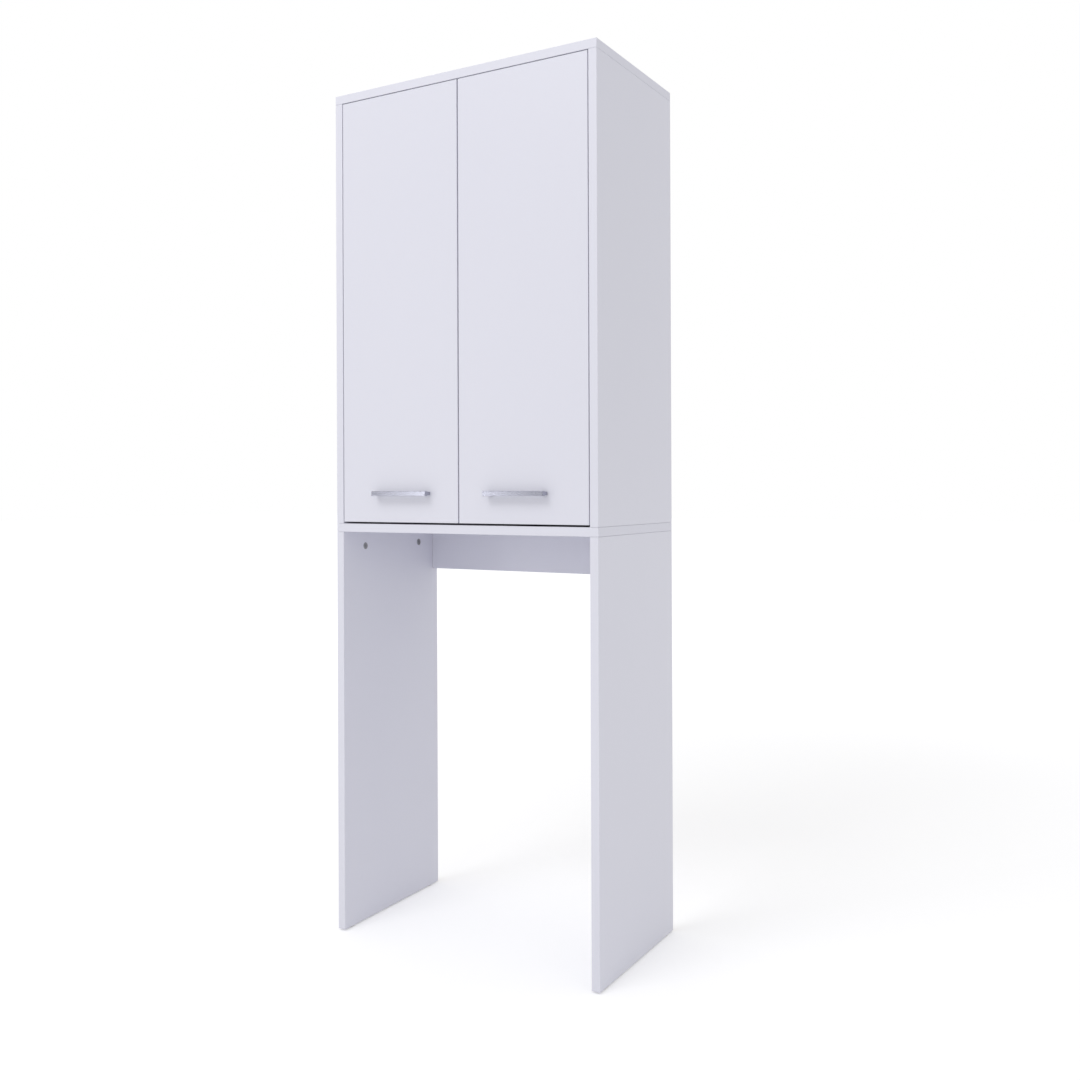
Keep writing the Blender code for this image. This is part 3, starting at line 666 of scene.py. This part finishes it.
def tidied(mesh):
    """The mesh with its doubles merged, its faces pointing out and its round parts smooth."""
    shell = bmesh.new()
    shell.from_mesh(mesh)
    bmesh.ops.remove_doubles(shell, verts=shell.verts, dist=MERGE)
    bmesh.ops.recalc_face_normals(shell, faces=shell.faces)
    shell.to_mesh(mesh)
    shell.free()
    mesh.shade_smooth()
    mesh.set_sharp_from_angle(angle=SMOOTH_UNDER)
    return mesh


def skin(name, grid):
    """A mesh with a face between every two neighbouring rows and columns of the grid, the
    last column next to the first."""
    index = np.arange(grid[..., 0].size).reshape(grid.shape[:2])
    ahead = np.roll(index, -1, axis=1)
    quads = np.stack((index[:-1], ahead[:-1], ahead[1:], index[1:]), axis=-1)
    mesh = bpy.data.meshes.new(name)
    mesh.from_pydata(grid.reshape(-1, 3).tolist(), [], quads.reshape(-1, 4).tolist())
    return tidied(mesh)


def carved(base, joined=(), cut=()):
    """The base mesh with the joined meshes added to it and the cut ones taken out of it."""
    helpers = [bpy.data.objects.new("helper", mesh) for mesh in (base, *joined, *cut)]
    for helper in helpers:
        scene.collection.objects.link(helper)
    for count, helper in enumerate(helpers[1:]):
        change = helpers[0].modifiers.new("change", "BOOLEAN")
        change.operation = "UNION" if count < len(joined) else "DIFFERENCE"
        change.object = helper
    solved = helpers[0].evaluated_get(bpy.context.evaluated_depsgraph_get())
    made = bpy.data.meshes.new_from_object(solved)
    for helper in helpers:
        bpy.data.objects.remove(helper)
    return tidied(made)


print("skin and carved ready")

# %% [markdown]
# A new piece needs three things: the body that it moves with, the finish that it takes and,
# where it dresses a plain solid, the node that it stands for. All three come from the frame's
# record, so that each piece rides on its door or on the carcass at any pose.

# %% Pieces in the scene
record = frame["record"]
groups = record["behaviour"]["bodies"]
body_of = {node: body for body, members in groups.items() for node in members}
slot_of = {part["node"]: part["material_slot"] for part in record["subparts"]}
HANDS = ((-1, "left"), (1, "right"))
LEVELS = ("lower", "upper")
made_pieces = []


def add_piece(name, mesh, beside, replaces=False):
    """Puts a mesh in the scene on the body and with the finish of a CAD node. It stands for
    that node, or is a piece beside it."""
    piece = bpy.data.objects.new(name, mesh)
    mesh.materials.clear()
    mesh.materials.append(looks[slot_of[beside]])
    scene.collection.objects.link(piece)
    if replaces:
        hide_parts(beside)
    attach(piece, body_of[beside])
    made_pieces.append(name)


def corners_of(node):
    """The middle, the low corner and the high corner of a CAD node's box."""
    low, high = (np.array(corner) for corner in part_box(node))
    return (low + high) / 2, low, high


def inwards(side):
    """The direction from a side panel into the cabinet."""
    return np.array((-side, 0, 0))


UP = np.array((0, 0, 1))
INWARD_Y = np.array((0, 1, 0))
print("bodies:", ", ".join(groups))

# %% [markdown]
# A screw is a stack too. A Screw modifier could wind the thread, but on a grid the thread,
# the shank, the head and its cross are one closed skin. A thread is one ridge that climbs a
# pitch in each turn, so its height above the root depends on height over pitch less angle
# over a full turn. The cross is a ring of another outline let into the top. Its angles are
# chosen so that the cross's corners fall on columns, or they would come out blunt.

# %% Screws
CROSS_SLIMNESS = 0.2
CROSS_REACH_SHARE = 0.55
CROSS_DEEP_SHARE = 0.7
CROSS_FLOOR_SHARE = 0.85
ARM_COLUMNS = 4
HOLLOW_COLUMNS = 8
TIP_SHARE = 0.5
ROOT_SHARE = 0.78
THREAD_FROM_TIP = 1.2
THREAD_STEPS = 4
HEAD_FLAT_SHARE = 0.62
HEAD_SIDE_SHARE = 0.35
HEAD_EASE_SHARE = 0.1
HEAD_STEPS = 6


def cross_angles():
    """Angles at the corners of a cross, and evenly between them on its arms and hollows."""
    corner = math.atan(CROSS_SLIMNESS)
    arm = np.linspace(-corner, corner, ARM_COLUMNS, endpoint=False)
    hollow = np.linspace(corner, QUARTER_TURN - corner, HOLLOW_COLUMNS, endpoint=False)
    quarters = np.arange(4)[:, None] * QUARTER_TURN
    return (np.concatenate((arm, hollow)) + quarters).ravel()


SCREW_ANGLES = cross_angles()


def cross(reach):
    """Radii of a cross: its arm's end is reach over the cosine of the angle from the arm, and
    its side is half its width over the sine, whichever is nearer."""
    turned = (SCREW_ANGLES + QUARTER_TURN / 2) % QUARTER_TURN - QUARTER_TURN / 2
    side = CROSS_SLIMNESS * reach / np.maximum(np.abs(np.sin(turned)), TINY)
    return np.minimum(reach / np.cos(turned), side)


def thread(angles, start, end, root, crest, pitch):
    """Rings of a thread: root plus a triangle wave of height over pitch less angle over a full
    turn, which fades out over the first and last pitch."""
    heights = np.arange(start, end, pitch / THREAD_STEPS)
    wave = heights[:, None] / pitch - angles / FULL_TURN
    ridge = 1 - np.abs(2 * (wave % 1) - 1)
    fade = np.clip(np.minimum(heights - start, end - heights) / pitch, 0, 1)[:, None]
    return list(zip(root + (crest - root) * ridge * fade, heights))


def cross_recess(reach, top, deep):
    """Rings of the cross let into a head's top, a little narrower at its floor."""
    floor = top - deep
    return [(cross(reach), top), (cross(reach * CROSS_FLOOR_SHARE), floor), (0, floor)]


def pan_screw(head, thick, shank, length, pitch=0.0):
    """A screw that points down Z with its head on top of zero: a shank, threaded where pitch
    is more than zero, and a head whose side rises to a quarter ellipse and a flat."""
    root = shank * ROOT_SHARE
    rings = [(0, -length), (shank * TIP_SHARE, -length), (root, shank - length)]
    if pitch:
        start = shank * THREAD_FROM_TIP - length
        rings += thread(SCREW_ANGLES, start, -pitch, root, shank, pitch)
    rings += [(root, 0), *reversed(eased(head, 0, thick * HEAD_EASE_SHARE, -1))]
    flat, side = head * HEAD_FLAT_SHARE, thick * HEAD_SIDE_SHARE
    for turn in np.linspace(0, QUARTER_TURN, HEAD_STEPS):
        out, up = (head - flat) * math.cos(turn), (thick - side) * math.sin(turn)
        rings.append((flat + out, side + up))
    rings += cross_recess(head * CROSS_REACH_SHARE, thick, thick * CROSS_DEEP_SHARE)
    return stack(rings, SCREW_ANGLES)


print("screws of", SCREW_ANGLES.size, "columns")

# %% [markdown]
# Each handle is held by two machine screws from inside the door. Their heads show when the
# doors stand open, and the fine thread runs through the door into the handle's feet.

# %% Handle screws
HANDLE_SCREW_HEAD = 0.0026
HANDLE_SCREW_SHANK = 0.0019
HANDLE_SCREW_PITCH = 0.0007


def handle_screw(node):
    """A machine screw from inside the door, its head on the door's inner face."""
    middle, low, high = corners_of(node)
    head, length = (high[0] - low[0]) / 2, high[1] - low[1] - HANDLE_SCREW_HEAD
    screw = pan_screw(head, HANDLE_SCREW_HEAD, HANDLE_SCREW_SHANK, length, HANDLE_SCREW_PITCH)
    seat = (middle[0], high[1] - HANDLE_SCREW_HEAD, middle[2])
    mesh = skin("handle_screw", placed(screw, seat, INWARD_Y, UP))
    add_piece(f"{node}_threaded", mesh, node, replaces=True)


for side, hand in HANDS:
    for end in ("a", "b"):
        handle_screw(f"handle_screw_{hand}_{end}")
print("handle screws:", len(made_pieces))

# %% [markdown]
# The hinge's cup is drawn from one sheet of steel: a round pot sunk in the door, and a rim
# that spreads into two ears for the screws. Seen along its axis, the rim is the larger of a
# circle and a round-ended bar, angle by angle, so both are one outline on the same grid.

# %% Outlines with ears
def bar(half_length, half_width):
    """Radii of a bar along X with round ends: its side is half its width over the sine, and
    past its straight part the ray meets the end's circle."""
    straight = half_length - half_width
    cosine, sine = np.abs(np.cos(ANGLES)), np.abs(np.sin(ANGLES))
    on_side = half_width / np.maximum(sine, TINY)
    inside = np.maximum(half_width**2 - (straight * sine) ** 2, 0)
    on_end = straight * cosine + np.sqrt(inside)
    return np.where(on_side * cosine <= straight, on_side, on_end)


def soft_box(half_x, half_y, power):
    """Radii of a box with full corners, a superellipse: (x / half x) to the power, plus
    (y / half y) to the power, is 1."""
    across, along = np.abs(np.cos(ANGLES) / half_x), np.abs(np.sin(ANGLES) / half_y)
    return (across**power + along**power) ** (-1 / power)


def rod(origin, out, across, outline, low, high):
    """A straight rod of one outline from low to high, as a mesh that cuts."""
    rings = [(0, low), (outline, low), (outline, high), (0, high)]
    return skin("rod", placed(stack(rings), origin, out, across))


print("outlines ready")

# %% [markdown]
# The cup's section is walked once, from the middle of its bottom up the outside of the pot,
# over the rim with its ears, and down the inside to the floor. A Boolean then cuts the ears'
# screw holes, and its result is kept as a plain mesh, so no modifier is left for the export.

# %% Hinge cups
CUP_SEAT = 0.0003
CUP_OUTSIDE = 0.0173
CUP_INSIDE = 0.0165
CUP_SHEET = 0.0008
CUP_BEND = 0.0012
CUP_LIP = 0.0008
RIM_EASE_SHARE = 0.4
EAR_HALF = 0.0068
EAR_SCREW_REACH = 0.0245
EAR_SCREW = {"head": 0.0034, "thick": 0.0014, "shank": 0.0016, "length": 0.0105, "pitch": 0.0012}
EAR_HOLE = 0.0020
SCREW_AIR = 0.0001


def hinge_cup(tag, hand):
    """The pot and its rim with ears as one stack, the holes cut, and the two screws."""
    node = f"hinge_cup_{tag}"
    middle, low, high = corners_of(node)
    face = corners_of(f"{hand}_door")[2][1]
    bottom, rim = low[1] - face, high[1] - face
    ears = np.maximum((high[0] - low[0]) / 2, bar((high[2] - low[2]) / 2, EAR_HALF))
    floor = bottom + CUP_SHEET
    edge = (rim - CUP_SEAT) * RIM_EASE_SHARE
    rings = [(0, bottom), *reversed(eased(CUP_OUTSIDE, bottom, CUP_BEND, -1))]
    rings += [(CUP_OUTSIDE, CUP_SEAT), *reversed(eased(ears, CUP_SEAT, edge / 2, -1))]
    rings += [*eased(ears, rim - edge / 2, edge), (CUP_INSIDE + 2 * CUP_LIP, rim - edge / 2)]
    rings += [(CUP_INSIDE + CUP_LIP, rim), (CUP_INSIDE + CUP_LIP / 2, rim)]
    rings += [(CUP_INSIDE, rim - CUP_LIP / 2), *eased(CUP_INSIDE, floor, CUP_BEND, -1), (0, floor)]
    seat = np.array((middle[0], face, middle[2]))
    holes = [seat + UP * way * EAR_SCREW_REACH for way in (-1, 1)]
    cut = [rod(hole, INWARD_Y, UP, EAR_HOLE, CUP_SEAT / 2, 2 * rim) for hole in holes]
    pot = skin("hinge_cup", placed(stack(rings), seat, INWARD_Y, UP))
    add_piece(f"{node}_drawn", carved(pot, cut=cut), node, replaces=True)
    for hole, word in zip(holes, LEVELS):
        screw = placed(pan_screw(**EAR_SCREW), hole + INWARD_Y * (rim + SCREW_AIR), INWARD_Y, UP)
        add_piece(f"cup_screw_{tag}_{word}", skin("cup_screw", screw), node)


for side, hand in HANDS:
    for level in LEVELS:
        hinge_cup(f"{hand}_{level}", hand)
print("pieces so far:", len(made_pieces))

# %% [markdown]
# The mounting plate is a winged casting: a flat base with an ear above and below for its
# screws, and a block down its middle that the arm slides over. Base and block are two
# stacks joined by a Boolean, and the screw holes are cut through.

# %% Mounting plates
PLATE_SEAT = 0.0003
PLATE_BASE = 0.0020
PLATE_HALF_DEEP = 0.0110
PLATE_WAIST = 0.0125
PLATE_POWER = 6
PLATE_WING = 0.0085
PLATE_EASE = 0.0005
BLOCK_HALF = 0.0053
BLOCK_POWER = 9
BLOCK_EASE = 0.0008
PLATE_SCREW_REACH = 0.016
PLATE_SCREW = {"head": 0.0042, "thick": 0.0018, "shank": 0.0022, "length": 0.0125, "pitch": 0.0018}
PLATE_HOLE = 0.0025


def hinge_plate(side, tag):
    """The base with its wings, the block on it and the two screws."""
    node = f"hinge_plate_{tag}"
    middle, low, high = corners_of(node)
    panel = side * (max(abs(low[0]), abs(high[0])) + PLATE_SEAT)
    into = inwards(side)
    waist = soft_box(PLATE_WAIST, PLATE_HALF_DEEP, PLATE_POWER)
    wings = np.maximum(bar((high[2] - low[2]) / 2, PLATE_WING), waist)
    seat = np.array((panel, low[1] + PLATE_HALF_DEEP, middle[2]))
    top = PLATE_SEAT + PLATE_BASE
    base = placed(stack(disc(wings, PLATE_SEAT, top, PLATE_EASE)), seat, into, UP)
    outline = soft_box(BLOCK_HALF, (high[1] - low[1]) / 2, BLOCK_POWER)
    rise = abs(high[0] - low[0]) + PLATE_SEAT
    block = stack(disc(outline, PLATE_SEAT + PLATE_BASE / 2, rise, BLOCK_EASE))
    block = placed(block, (panel, middle[1], middle[2]), into, UP)
    holes = [seat + UP * way * PLATE_SCREW_REACH for way in (-1, 1)]
    cut = [rod(hole, into, UP, PLATE_HOLE, 0, 2 * top) for hole in holes]
    mesh = carved(skin("hinge_plate", base), [skin("block", block)], cut)
    add_piece(f"{node}_cast", mesh, node, replaces=True)
    for hole, word in zip(holes, LEVELS):
        screw = placed(pan_screw(**PLATE_SCREW), hole + into * (top + SCREW_AIR), into, UP)
        add_piece(f"plate_screw_{tag}_{word}", skin("plate_screw", screw), node)


for side, hand in HANDS:
    for level in LEVELS:
        hinge_plate(side, f"{hand}_{level}")
print("pieces so far:", len(made_pieces))

# %% [markdown]
# The arm is a strap of steel: rolled into an eye round the pin, bowed out over the rim, then
# straight along the side panel with a cheek down each edge. Its side view is a line with
# rounded bends. The strap is that line given a thickness along its normal and a width along
# Z, and eight corners to a ring are enough to keep its edges eased.

# %% A strap along a line
STRAP_SIDES = np.array((1, 1, 1, -1, -1, -1, -1, 1))
STRAP_SIDE_EASED = np.array((0, 0, 1, 1, 0, 0, 1, 1))
STRAP_WAYS = np.array((-1, 1, 1, 1, 1, -1, -1, -1))
STRAP_WAY_EASED = 1 - STRAP_SIDE_EASED


def strap(line, half_thick, half_width, ease):
    """A grid along a line in the XY plane. A corner lies half the thickness off the line
    along its normal and half the width along Z, less ease on one of the two, and the first
    and last rows close the ends at the line itself."""
    ahead = np.gradient(line, axis=0)
    ahead /= np.linalg.norm(ahead, axis=1, keepdims=True)
    normal = np.column_stack((-ahead[:, 1], ahead[:, 0]))
    half_thick = np.broadcast_to(half_thick, len(line))[:, None]
    off = STRAP_SIDES * (half_thick - ease * STRAP_SIDE_EASED)
    flat = line[:, None, :] + normal[:, None, :] * off[..., None]
    wide = np.broadcast_to(STRAP_WAYS * (half_width - ease * STRAP_WAY_EASED), off.shape)
    grid = np.concatenate((flat, wide[..., None]), axis=-1)
    ends = np.column_stack((line[[0, -1]], (0, 0)))[:, None, :]
    ends = ends.repeat(STRAP_SIDES.size, axis=1)
    return np.concatenate((ends[:1], grid, ends[1:]))


print("strap ready")

# %% [markdown]
# The arm's numbers are places in its side view, in metres from the pin: out of the cup, round
# its rim and back to the side panel. The cheeks are joined on, the slot and the hole are cut,
# and two screws sit in them: the front one shifts the door and the rear one holds the arm.

# %% Hinge arms
STRAP = 0.0018
STRAP_HALF_WIDTH = 0.0070
STRAP_EASE = 0.0003
EYE_BORE = 0.0015
EYE_STRAP = 0.0010
EYE_SWEEP = math.radians(325)
EYE_STEPS = 30
BEND = 0.0025
BEND_SHARE = 0.45
BEND_STEPS = 7
NECK = ((0.0120, 0.0055), (0.0150, 0.0151), (0.0138, 0.0255), (-0.0080, 0.0315))
TAIL_OFF = -0.0121
TAIL_START = 0.0337
TAIL_END = 0.0835
CHEEK = 0.0014
CHEEK_RUN = (0.0362, 0.0810)
CHEEK_FOOT = 0.0026
CHEEK_SUNK_SHARE = 0.45
SLOT_AT = 0.0490
SLOT_HALF = (0.0050, 0.0024)
REAR_HOLE_AT = 0.0720
REAR_HOLE = 0.0024
FRONT_SCREW = {"head": 0.0042, "thick": 0.0016, "shank": 0.0020, "length": 0.0020}
REAR_SCREW = {"head": 0.0036, "thick": 0.0016, "shank": 0.0020, "length": 0.0020}


def arm_line():
    """The strap's middle line from the pin: most of a circle, then straight runs whose bends
    are quadratic curves. A bend begins BEND before its corner and ends BEND after it, but
    never takes more than its share of a run."""
    leaves = math.atan2(NECK[0][1], NECK[0][0]) - QUARTER_TURN
    turn = leaves - np.linspace(EYE_SWEEP, 0, EYE_STEPS)
    eye = (EYE_BORE + EYE_STRAP / 2) * np.column_stack((np.cos(turn), np.sin(turn)))
    corners = np.array((eye[-1], *NECK, (TAIL_OFF, TAIL_START), (TAIL_OFF, TAIL_END)))
    line, share = [eye], np.linspace(0, 1, BEND_STEPS)[:, None]
    for before, corner, after in zip(corners, corners[1:], corners[2:]):
        start, end = (
            corner + (far - corner) * min(BEND / np.linalg.norm(far - corner), BEND_SHARE)
            for far in (before, after)
        )
        line.append(start * (1 - share) ** 2 + corner * 2 * share * (1 - share) + end * share**2)
    return np.concatenate((*line, corners[-1:]))


def hinge_arm(side, tag):
    """The bent strap, its two cheeks, its slot and hole, and the screws in them."""
    node = f"hinge_arm_{tag}"
    pin = corners_of(f"hinge_pin_{tag}")[0]
    panel = corners_of(f"side_panel_{tag.split('_')[0]}")[1 if side > 0 else 2][0]
    to_world = np.array((-side, 1, 1))
    line = arm_line()
    run = np.cumsum(np.linalg.norm(np.diff(line, axis=0, prepend=line[:1]), axis=1))
    eye_run = (EYE_BORE + EYE_STRAP / 2) * EYE_SWEEP
    half = np.interp(run, (eye_run, 2 * eye_run), (EYE_STRAP / 2, STRAP / 2))
    body = skin("hinge_arm", strap(line, half, STRAP_HALF_WIDTH, STRAP_EASE) * to_world + pin)
    top = abs(panel - pin[0]) + TAIL_OFF
    middle_x, half_x = (CHEEK_FOOT + top) / 2, (top - CHEEK_FOOT) / 2
    run_y = np.array(CHEEK_RUN) + pin[1]
    rib_line = np.column_stack((np.full(2, panel - side * middle_x), run_y))
    rib = strap(rib_line, half_x, CHEEK / 2, STRAP_EASE)
    lift = STRAP_HALF_WIDTH - CHEEK * CHEEK_SUNK_SHARE
    ribs = [skin("rib", rib + (0, 0, pin[2] + way * lift)) for way in (-1, 1)]
    into, over = inwards(side), top + STRAP / 2
    slot_seat = np.array((panel, pin[1] + SLOT_AT, pin[2]))
    hole_seat = np.array((panel, pin[1] + REAR_HOLE_AT, pin[2]))
    reach = (top - STRAP, over + STRAP)
    cut = [
        rod(slot_seat, into, INWARD_Y, bar(*SLOT_HALF), *reach),
        rod(hole_seat, into, INWARD_Y, REAR_HOLE, *reach),
    ]
    add_piece(f"{node}_bent", carved(body, ribs, cut), node, replaces=True)
    seats = (("front", slot_seat, FRONT_SCREW), ("rear", hole_seat, REAR_SCREW))
    for word, seat, size in seats:
        screw = placed(pan_screw(**size), seat + into * (over + SCREW_AIR), into, UP)
        add_piece(f"arm_screw_{tag}_{word}", skin("arm_screw", screw), node)


for side, hand in HANDS:
    for level in LEVELS:
        hinge_arm(side, f"{hand}_{level}")
print("pieces so far:", len(made_pieces))

# %% [markdown]
# Four pins carry each shelf. A pin is turned from rod, with a thin collar that stops it at
# the side panel's face and chamfers at both ends.

# %% Shelf pins
PIN_COLLAR = 0.0033
PIN_COLLAR_AT = (0.0001, 0.0008)
PIN_CHAMFER = 0.0004
PIN_SHANK = 0.0022


def shelf_pin(side, level, hand, row):
    """A pin out of the side panel: shank in the board, collar at its face, nose under the
    shelf."""
    node = f"shelf_pin_{level}_{hand}_{row}"
    middle, low, high = corners_of(node)
    panel = corners_of(f"side_panel_{hand}")[1 if side > 0 else 2][0]
    ends = sorted(side * (panel - edge) for edge in (low[0], high[0]))
    nose = (high[1] - low[1]) / 2
    deep = ends[0] + PIN_CHAMFER
    rings = [(0, ends[0]), (PIN_SHANK - PIN_CHAMFER, ends[0]), (PIN_SHANK, deep)]
    rings += [(PIN_SHANK, PIN_COLLAR_AT[0]), (PIN_COLLAR, PIN_COLLAR_AT[0])]
    rings += [*eased(PIN_COLLAR, PIN_COLLAR_AT[1], PIN_COLLAR_AT[0] * 2), (nose, PIN_COLLAR_AT[1])]
    rings += [*eased(nose, ends[1], PIN_CHAMFER), (0, ends[1])]
    grid = placed(stack(rings), (panel, middle[1], middle[2]), inwards(side), UP)
    add_piece(f"{node}_turned", skin("shelf_pin", grid), node, replaces=True)


for side, hand in HANDS:
    for level in LEVELS:
        for row in ("front", "rear"):
            shelf_pin(side, level, hand, row)
print("pieces so far:", len(made_pieces))

# %% [markdown]
# Long flat-head screws go down through the top into the sides. Their heads are cones sunk
# flush, driven by a six-sided key. On the hexagon's grid a radius is its flat's distance over
# the cosine of the angle from that flat.

# %% Top screws
KEY_FLAT = 0.0020
KEY_DEEP = 0.0030
CONE_DEEP = 0.0040
TOP_SHANK = 0.0034
TOP_SHANK_END = 0.0180
TOP_ROOT = 0.0019
TOP_CREST = 0.0027
TOP_PITCH = 0.0030
TOP_POINT = 0.0030
TOP_RIM = 0.0003


def top_screw(node):
    """The screw from its point up: thread, shank, cone, and the socket for the key."""
    middle, low, high = corners_of(node)
    length, head = high[2] - low[2], (high[0] - low[0]) / 2
    sixth = FULL_TURN / 6
    key = KEY_FLAT / np.cos((ANGLES + sixth / 2) % sixth - sixth / 2)
    ridge = thread(ANGLES, TOP_POINT - length, -TOP_SHANK_END, TOP_ROOT, TOP_CREST, TOP_PITCH)
    rings = [(0, -length), *ridge, (TOP_ROOT, -TOP_SHANK_END), (TOP_SHANK, -TOP_SHANK_END)]
    rings += [(TOP_SHANK, -CONE_DEEP), (head, -TOP_RIM), (head - TOP_RIM / 2, 0), (key, 0)]
    rings += [(key, -KEY_DEEP), (0, -KEY_DEEP - KEY_FLAT / 2)]
    grid = stack(rings) + (middle[0], middle[1], high[2])
    add_piece(f"{node}_threaded", skin("top_screw", grid), node, replaces=True)


for side, hand in HANDS:
    for row in ("front", "rear"):
        top_screw(f"top_screw_{hand}_{row}")
print("pieces so far:", len(made_pieces))

# %% [markdown]
# A cam lock is a small drum cast in zinc. A quarter turn of the screwdriver draws the bolt's
# head into its mouth and pulls the leg panel up tight. Its face has a ring groove and a
# cross, and the mouth is cut out of its upper side.

# %% Cam locks
CAM_EASE = 0.0004
CAM_GROOVE = (0.0054, 0.0059)
CAM_GROOVE_DEEP = 0.0004
CAM_GROOVE_SLOPE = 0.00015
CAM_CROSS = 0.0036
CAM_CROSS_DEEP = 0.0025
CAM_MOUTH_HALF = 0.0036
CAM_MOUTH_AT = 0.0090


def cam_lock(side, node):
    """The drum from its back to the cross in its face, less the mouth for the bolt."""
    middle, low, high = corners_of(node)
    drum, length = (high[1] - low[1]) / 2, high[0] - low[0]
    inner, outer = CAM_GROOVE
    rings = [(0, -length), *reversed(eased(drum, -length, CAM_EASE, -1))]
    rings += [*eased(drum, 0, CAM_EASE), (outer, 0)]
    rings += [(outer - CAM_GROOVE_SLOPE, -CAM_GROOVE_DEEP)]
    rings += [(inner + CAM_GROOVE_SLOPE, -CAM_GROOVE_DEEP), (inner, 0)]
    rings += cross_recess(CAM_CROSS, 0, CAM_CROSS_DEEP)
    face = low[0] if side > 0 else high[0]
    seat = (face, middle[1], middle[2])
    body = skin("cam_lock", placed(stack(rings, SCREW_ANGLES), seat, inwards(side), UP))
    depths = np.array((CAM_MOUTH_AT - CAM_MOUTH_HALF, 2 * length))
    line = np.column_stack((face + side * depths, np.full(2, middle[1])))
    mouth = strap(line, CAM_MOUTH_HALF, drum, CAM_EASE)
    mouth += (0, 0, middle[2] + drum - CAM_MOUTH_HALF)
    add_piece(f"{node}_cast", carved(body, cut=[skin("mouth", mouth)]), node, replaces=True)


for side, hand in HANDS:
    for row in ("front", "rear"):
        cam_lock(side, f"cam_lock_{hand}_{row}")
print("pieces so far:", len(made_pieces))

# %% [markdown]
# The leg panels stand on nailed glides, so that the raw board never drinks water from the
# floor. A glide is a moulded disc with a rounded rim, and the nail's head lies in a hollow
# in its underside, clear of the floor.

# %% Glides
GLIDE_THICK = 0.0027
GLIDE_EASE = 0.0009
GLIDE_HOLLOW = 0.0034
GLIDE_HOLLOW_DEEP = 0.0009
NAIL = 0.0011
NAIL_POINT = 0.0020
NAIL_HEAD = 0.0022
NAIL_DOME = 0.0005
DOME_SHOULDER_SHARE = 0.8


def glide(node):
    """The disc and its nail from the nail's point down to the head in the hollow."""
    middle, low, high = corners_of(node)
    rim, tip = (high[0] - low[0]) / 2, high[2] - low[2]
    rings = [(0, tip), (NAIL, tip - NAIL_POINT), (NAIL, GLIDE_THICK)]
    rings += [*reversed(eased(rim, GLIDE_THICK, GLIDE_EASE / 2)), *eased(rim, 0, GLIDE_EASE, -1)]
    rings += [(GLIDE_HOLLOW, 0), (GLIDE_HOLLOW - NAIL_DOME, GLIDE_HOLLOW_DEEP)]
    shoulder = GLIDE_HOLLOW_DEEP - NAIL_DOME * DOME_SHOULDER_SHARE
    rings += [(NAIL_HEAD, GLIDE_HOLLOW_DEEP), (NAIL, shoulder)]
    rings += [(0, GLIDE_HOLLOW_DEEP - NAIL_DOME)]
    grid = stack(rings) + (middle[0], middle[1], low[2])
    add_piece(f"{node}_moulded", skin("glide", grid), node, replaces=True)


for side, hand in HANDS:
    for row in ("front", "rear"):
        glide(f"glide_{hand}_{row}")
print("pieces so far:", len(made_pieces))

# %% [markdown]
# Each wall hanger is screwed to the side panel through its short flange, behind the back. The
# hanger's own solid has its keyhole already, so only the two screws are new.

# %% Hanger screws
HANGER_SHEET = 0.0020
HANGER_SCREW = {
    "head": 0.0032, "thick": 0.0015, "shank": 0.0016, "length": 0.0120, "pitch": 0.0012
}
HANGER_SCREW_FROM_END = 0.011
HANGER_SCREW_FROM_REAR = 0.0058

for side, hand in HANDS:
    node = f"wall_hanger_{hand}"
    middle, low, high = corners_of(node)
    into = inwards(side)
    wall = (high[0] if side > 0 else low[0]) + into[0] * (HANGER_SHEET + SCREW_AIR)
    heights = (low[2] + HANGER_SCREW_FROM_END, high[2] - HANGER_SCREW_FROM_END)
    for level, height in zip(LEVELS, heights):
        seat = (wall, high[1] - HANGER_SCREW_FROM_REAR, height)
        screw = skin("hanger_screw", placed(pan_screw(**HANGER_SCREW), seat, into, UP))
        add_piece(f"hanger_screw_{hand}_{level}", screw, node)
print("pieces:", len(made_pieces))
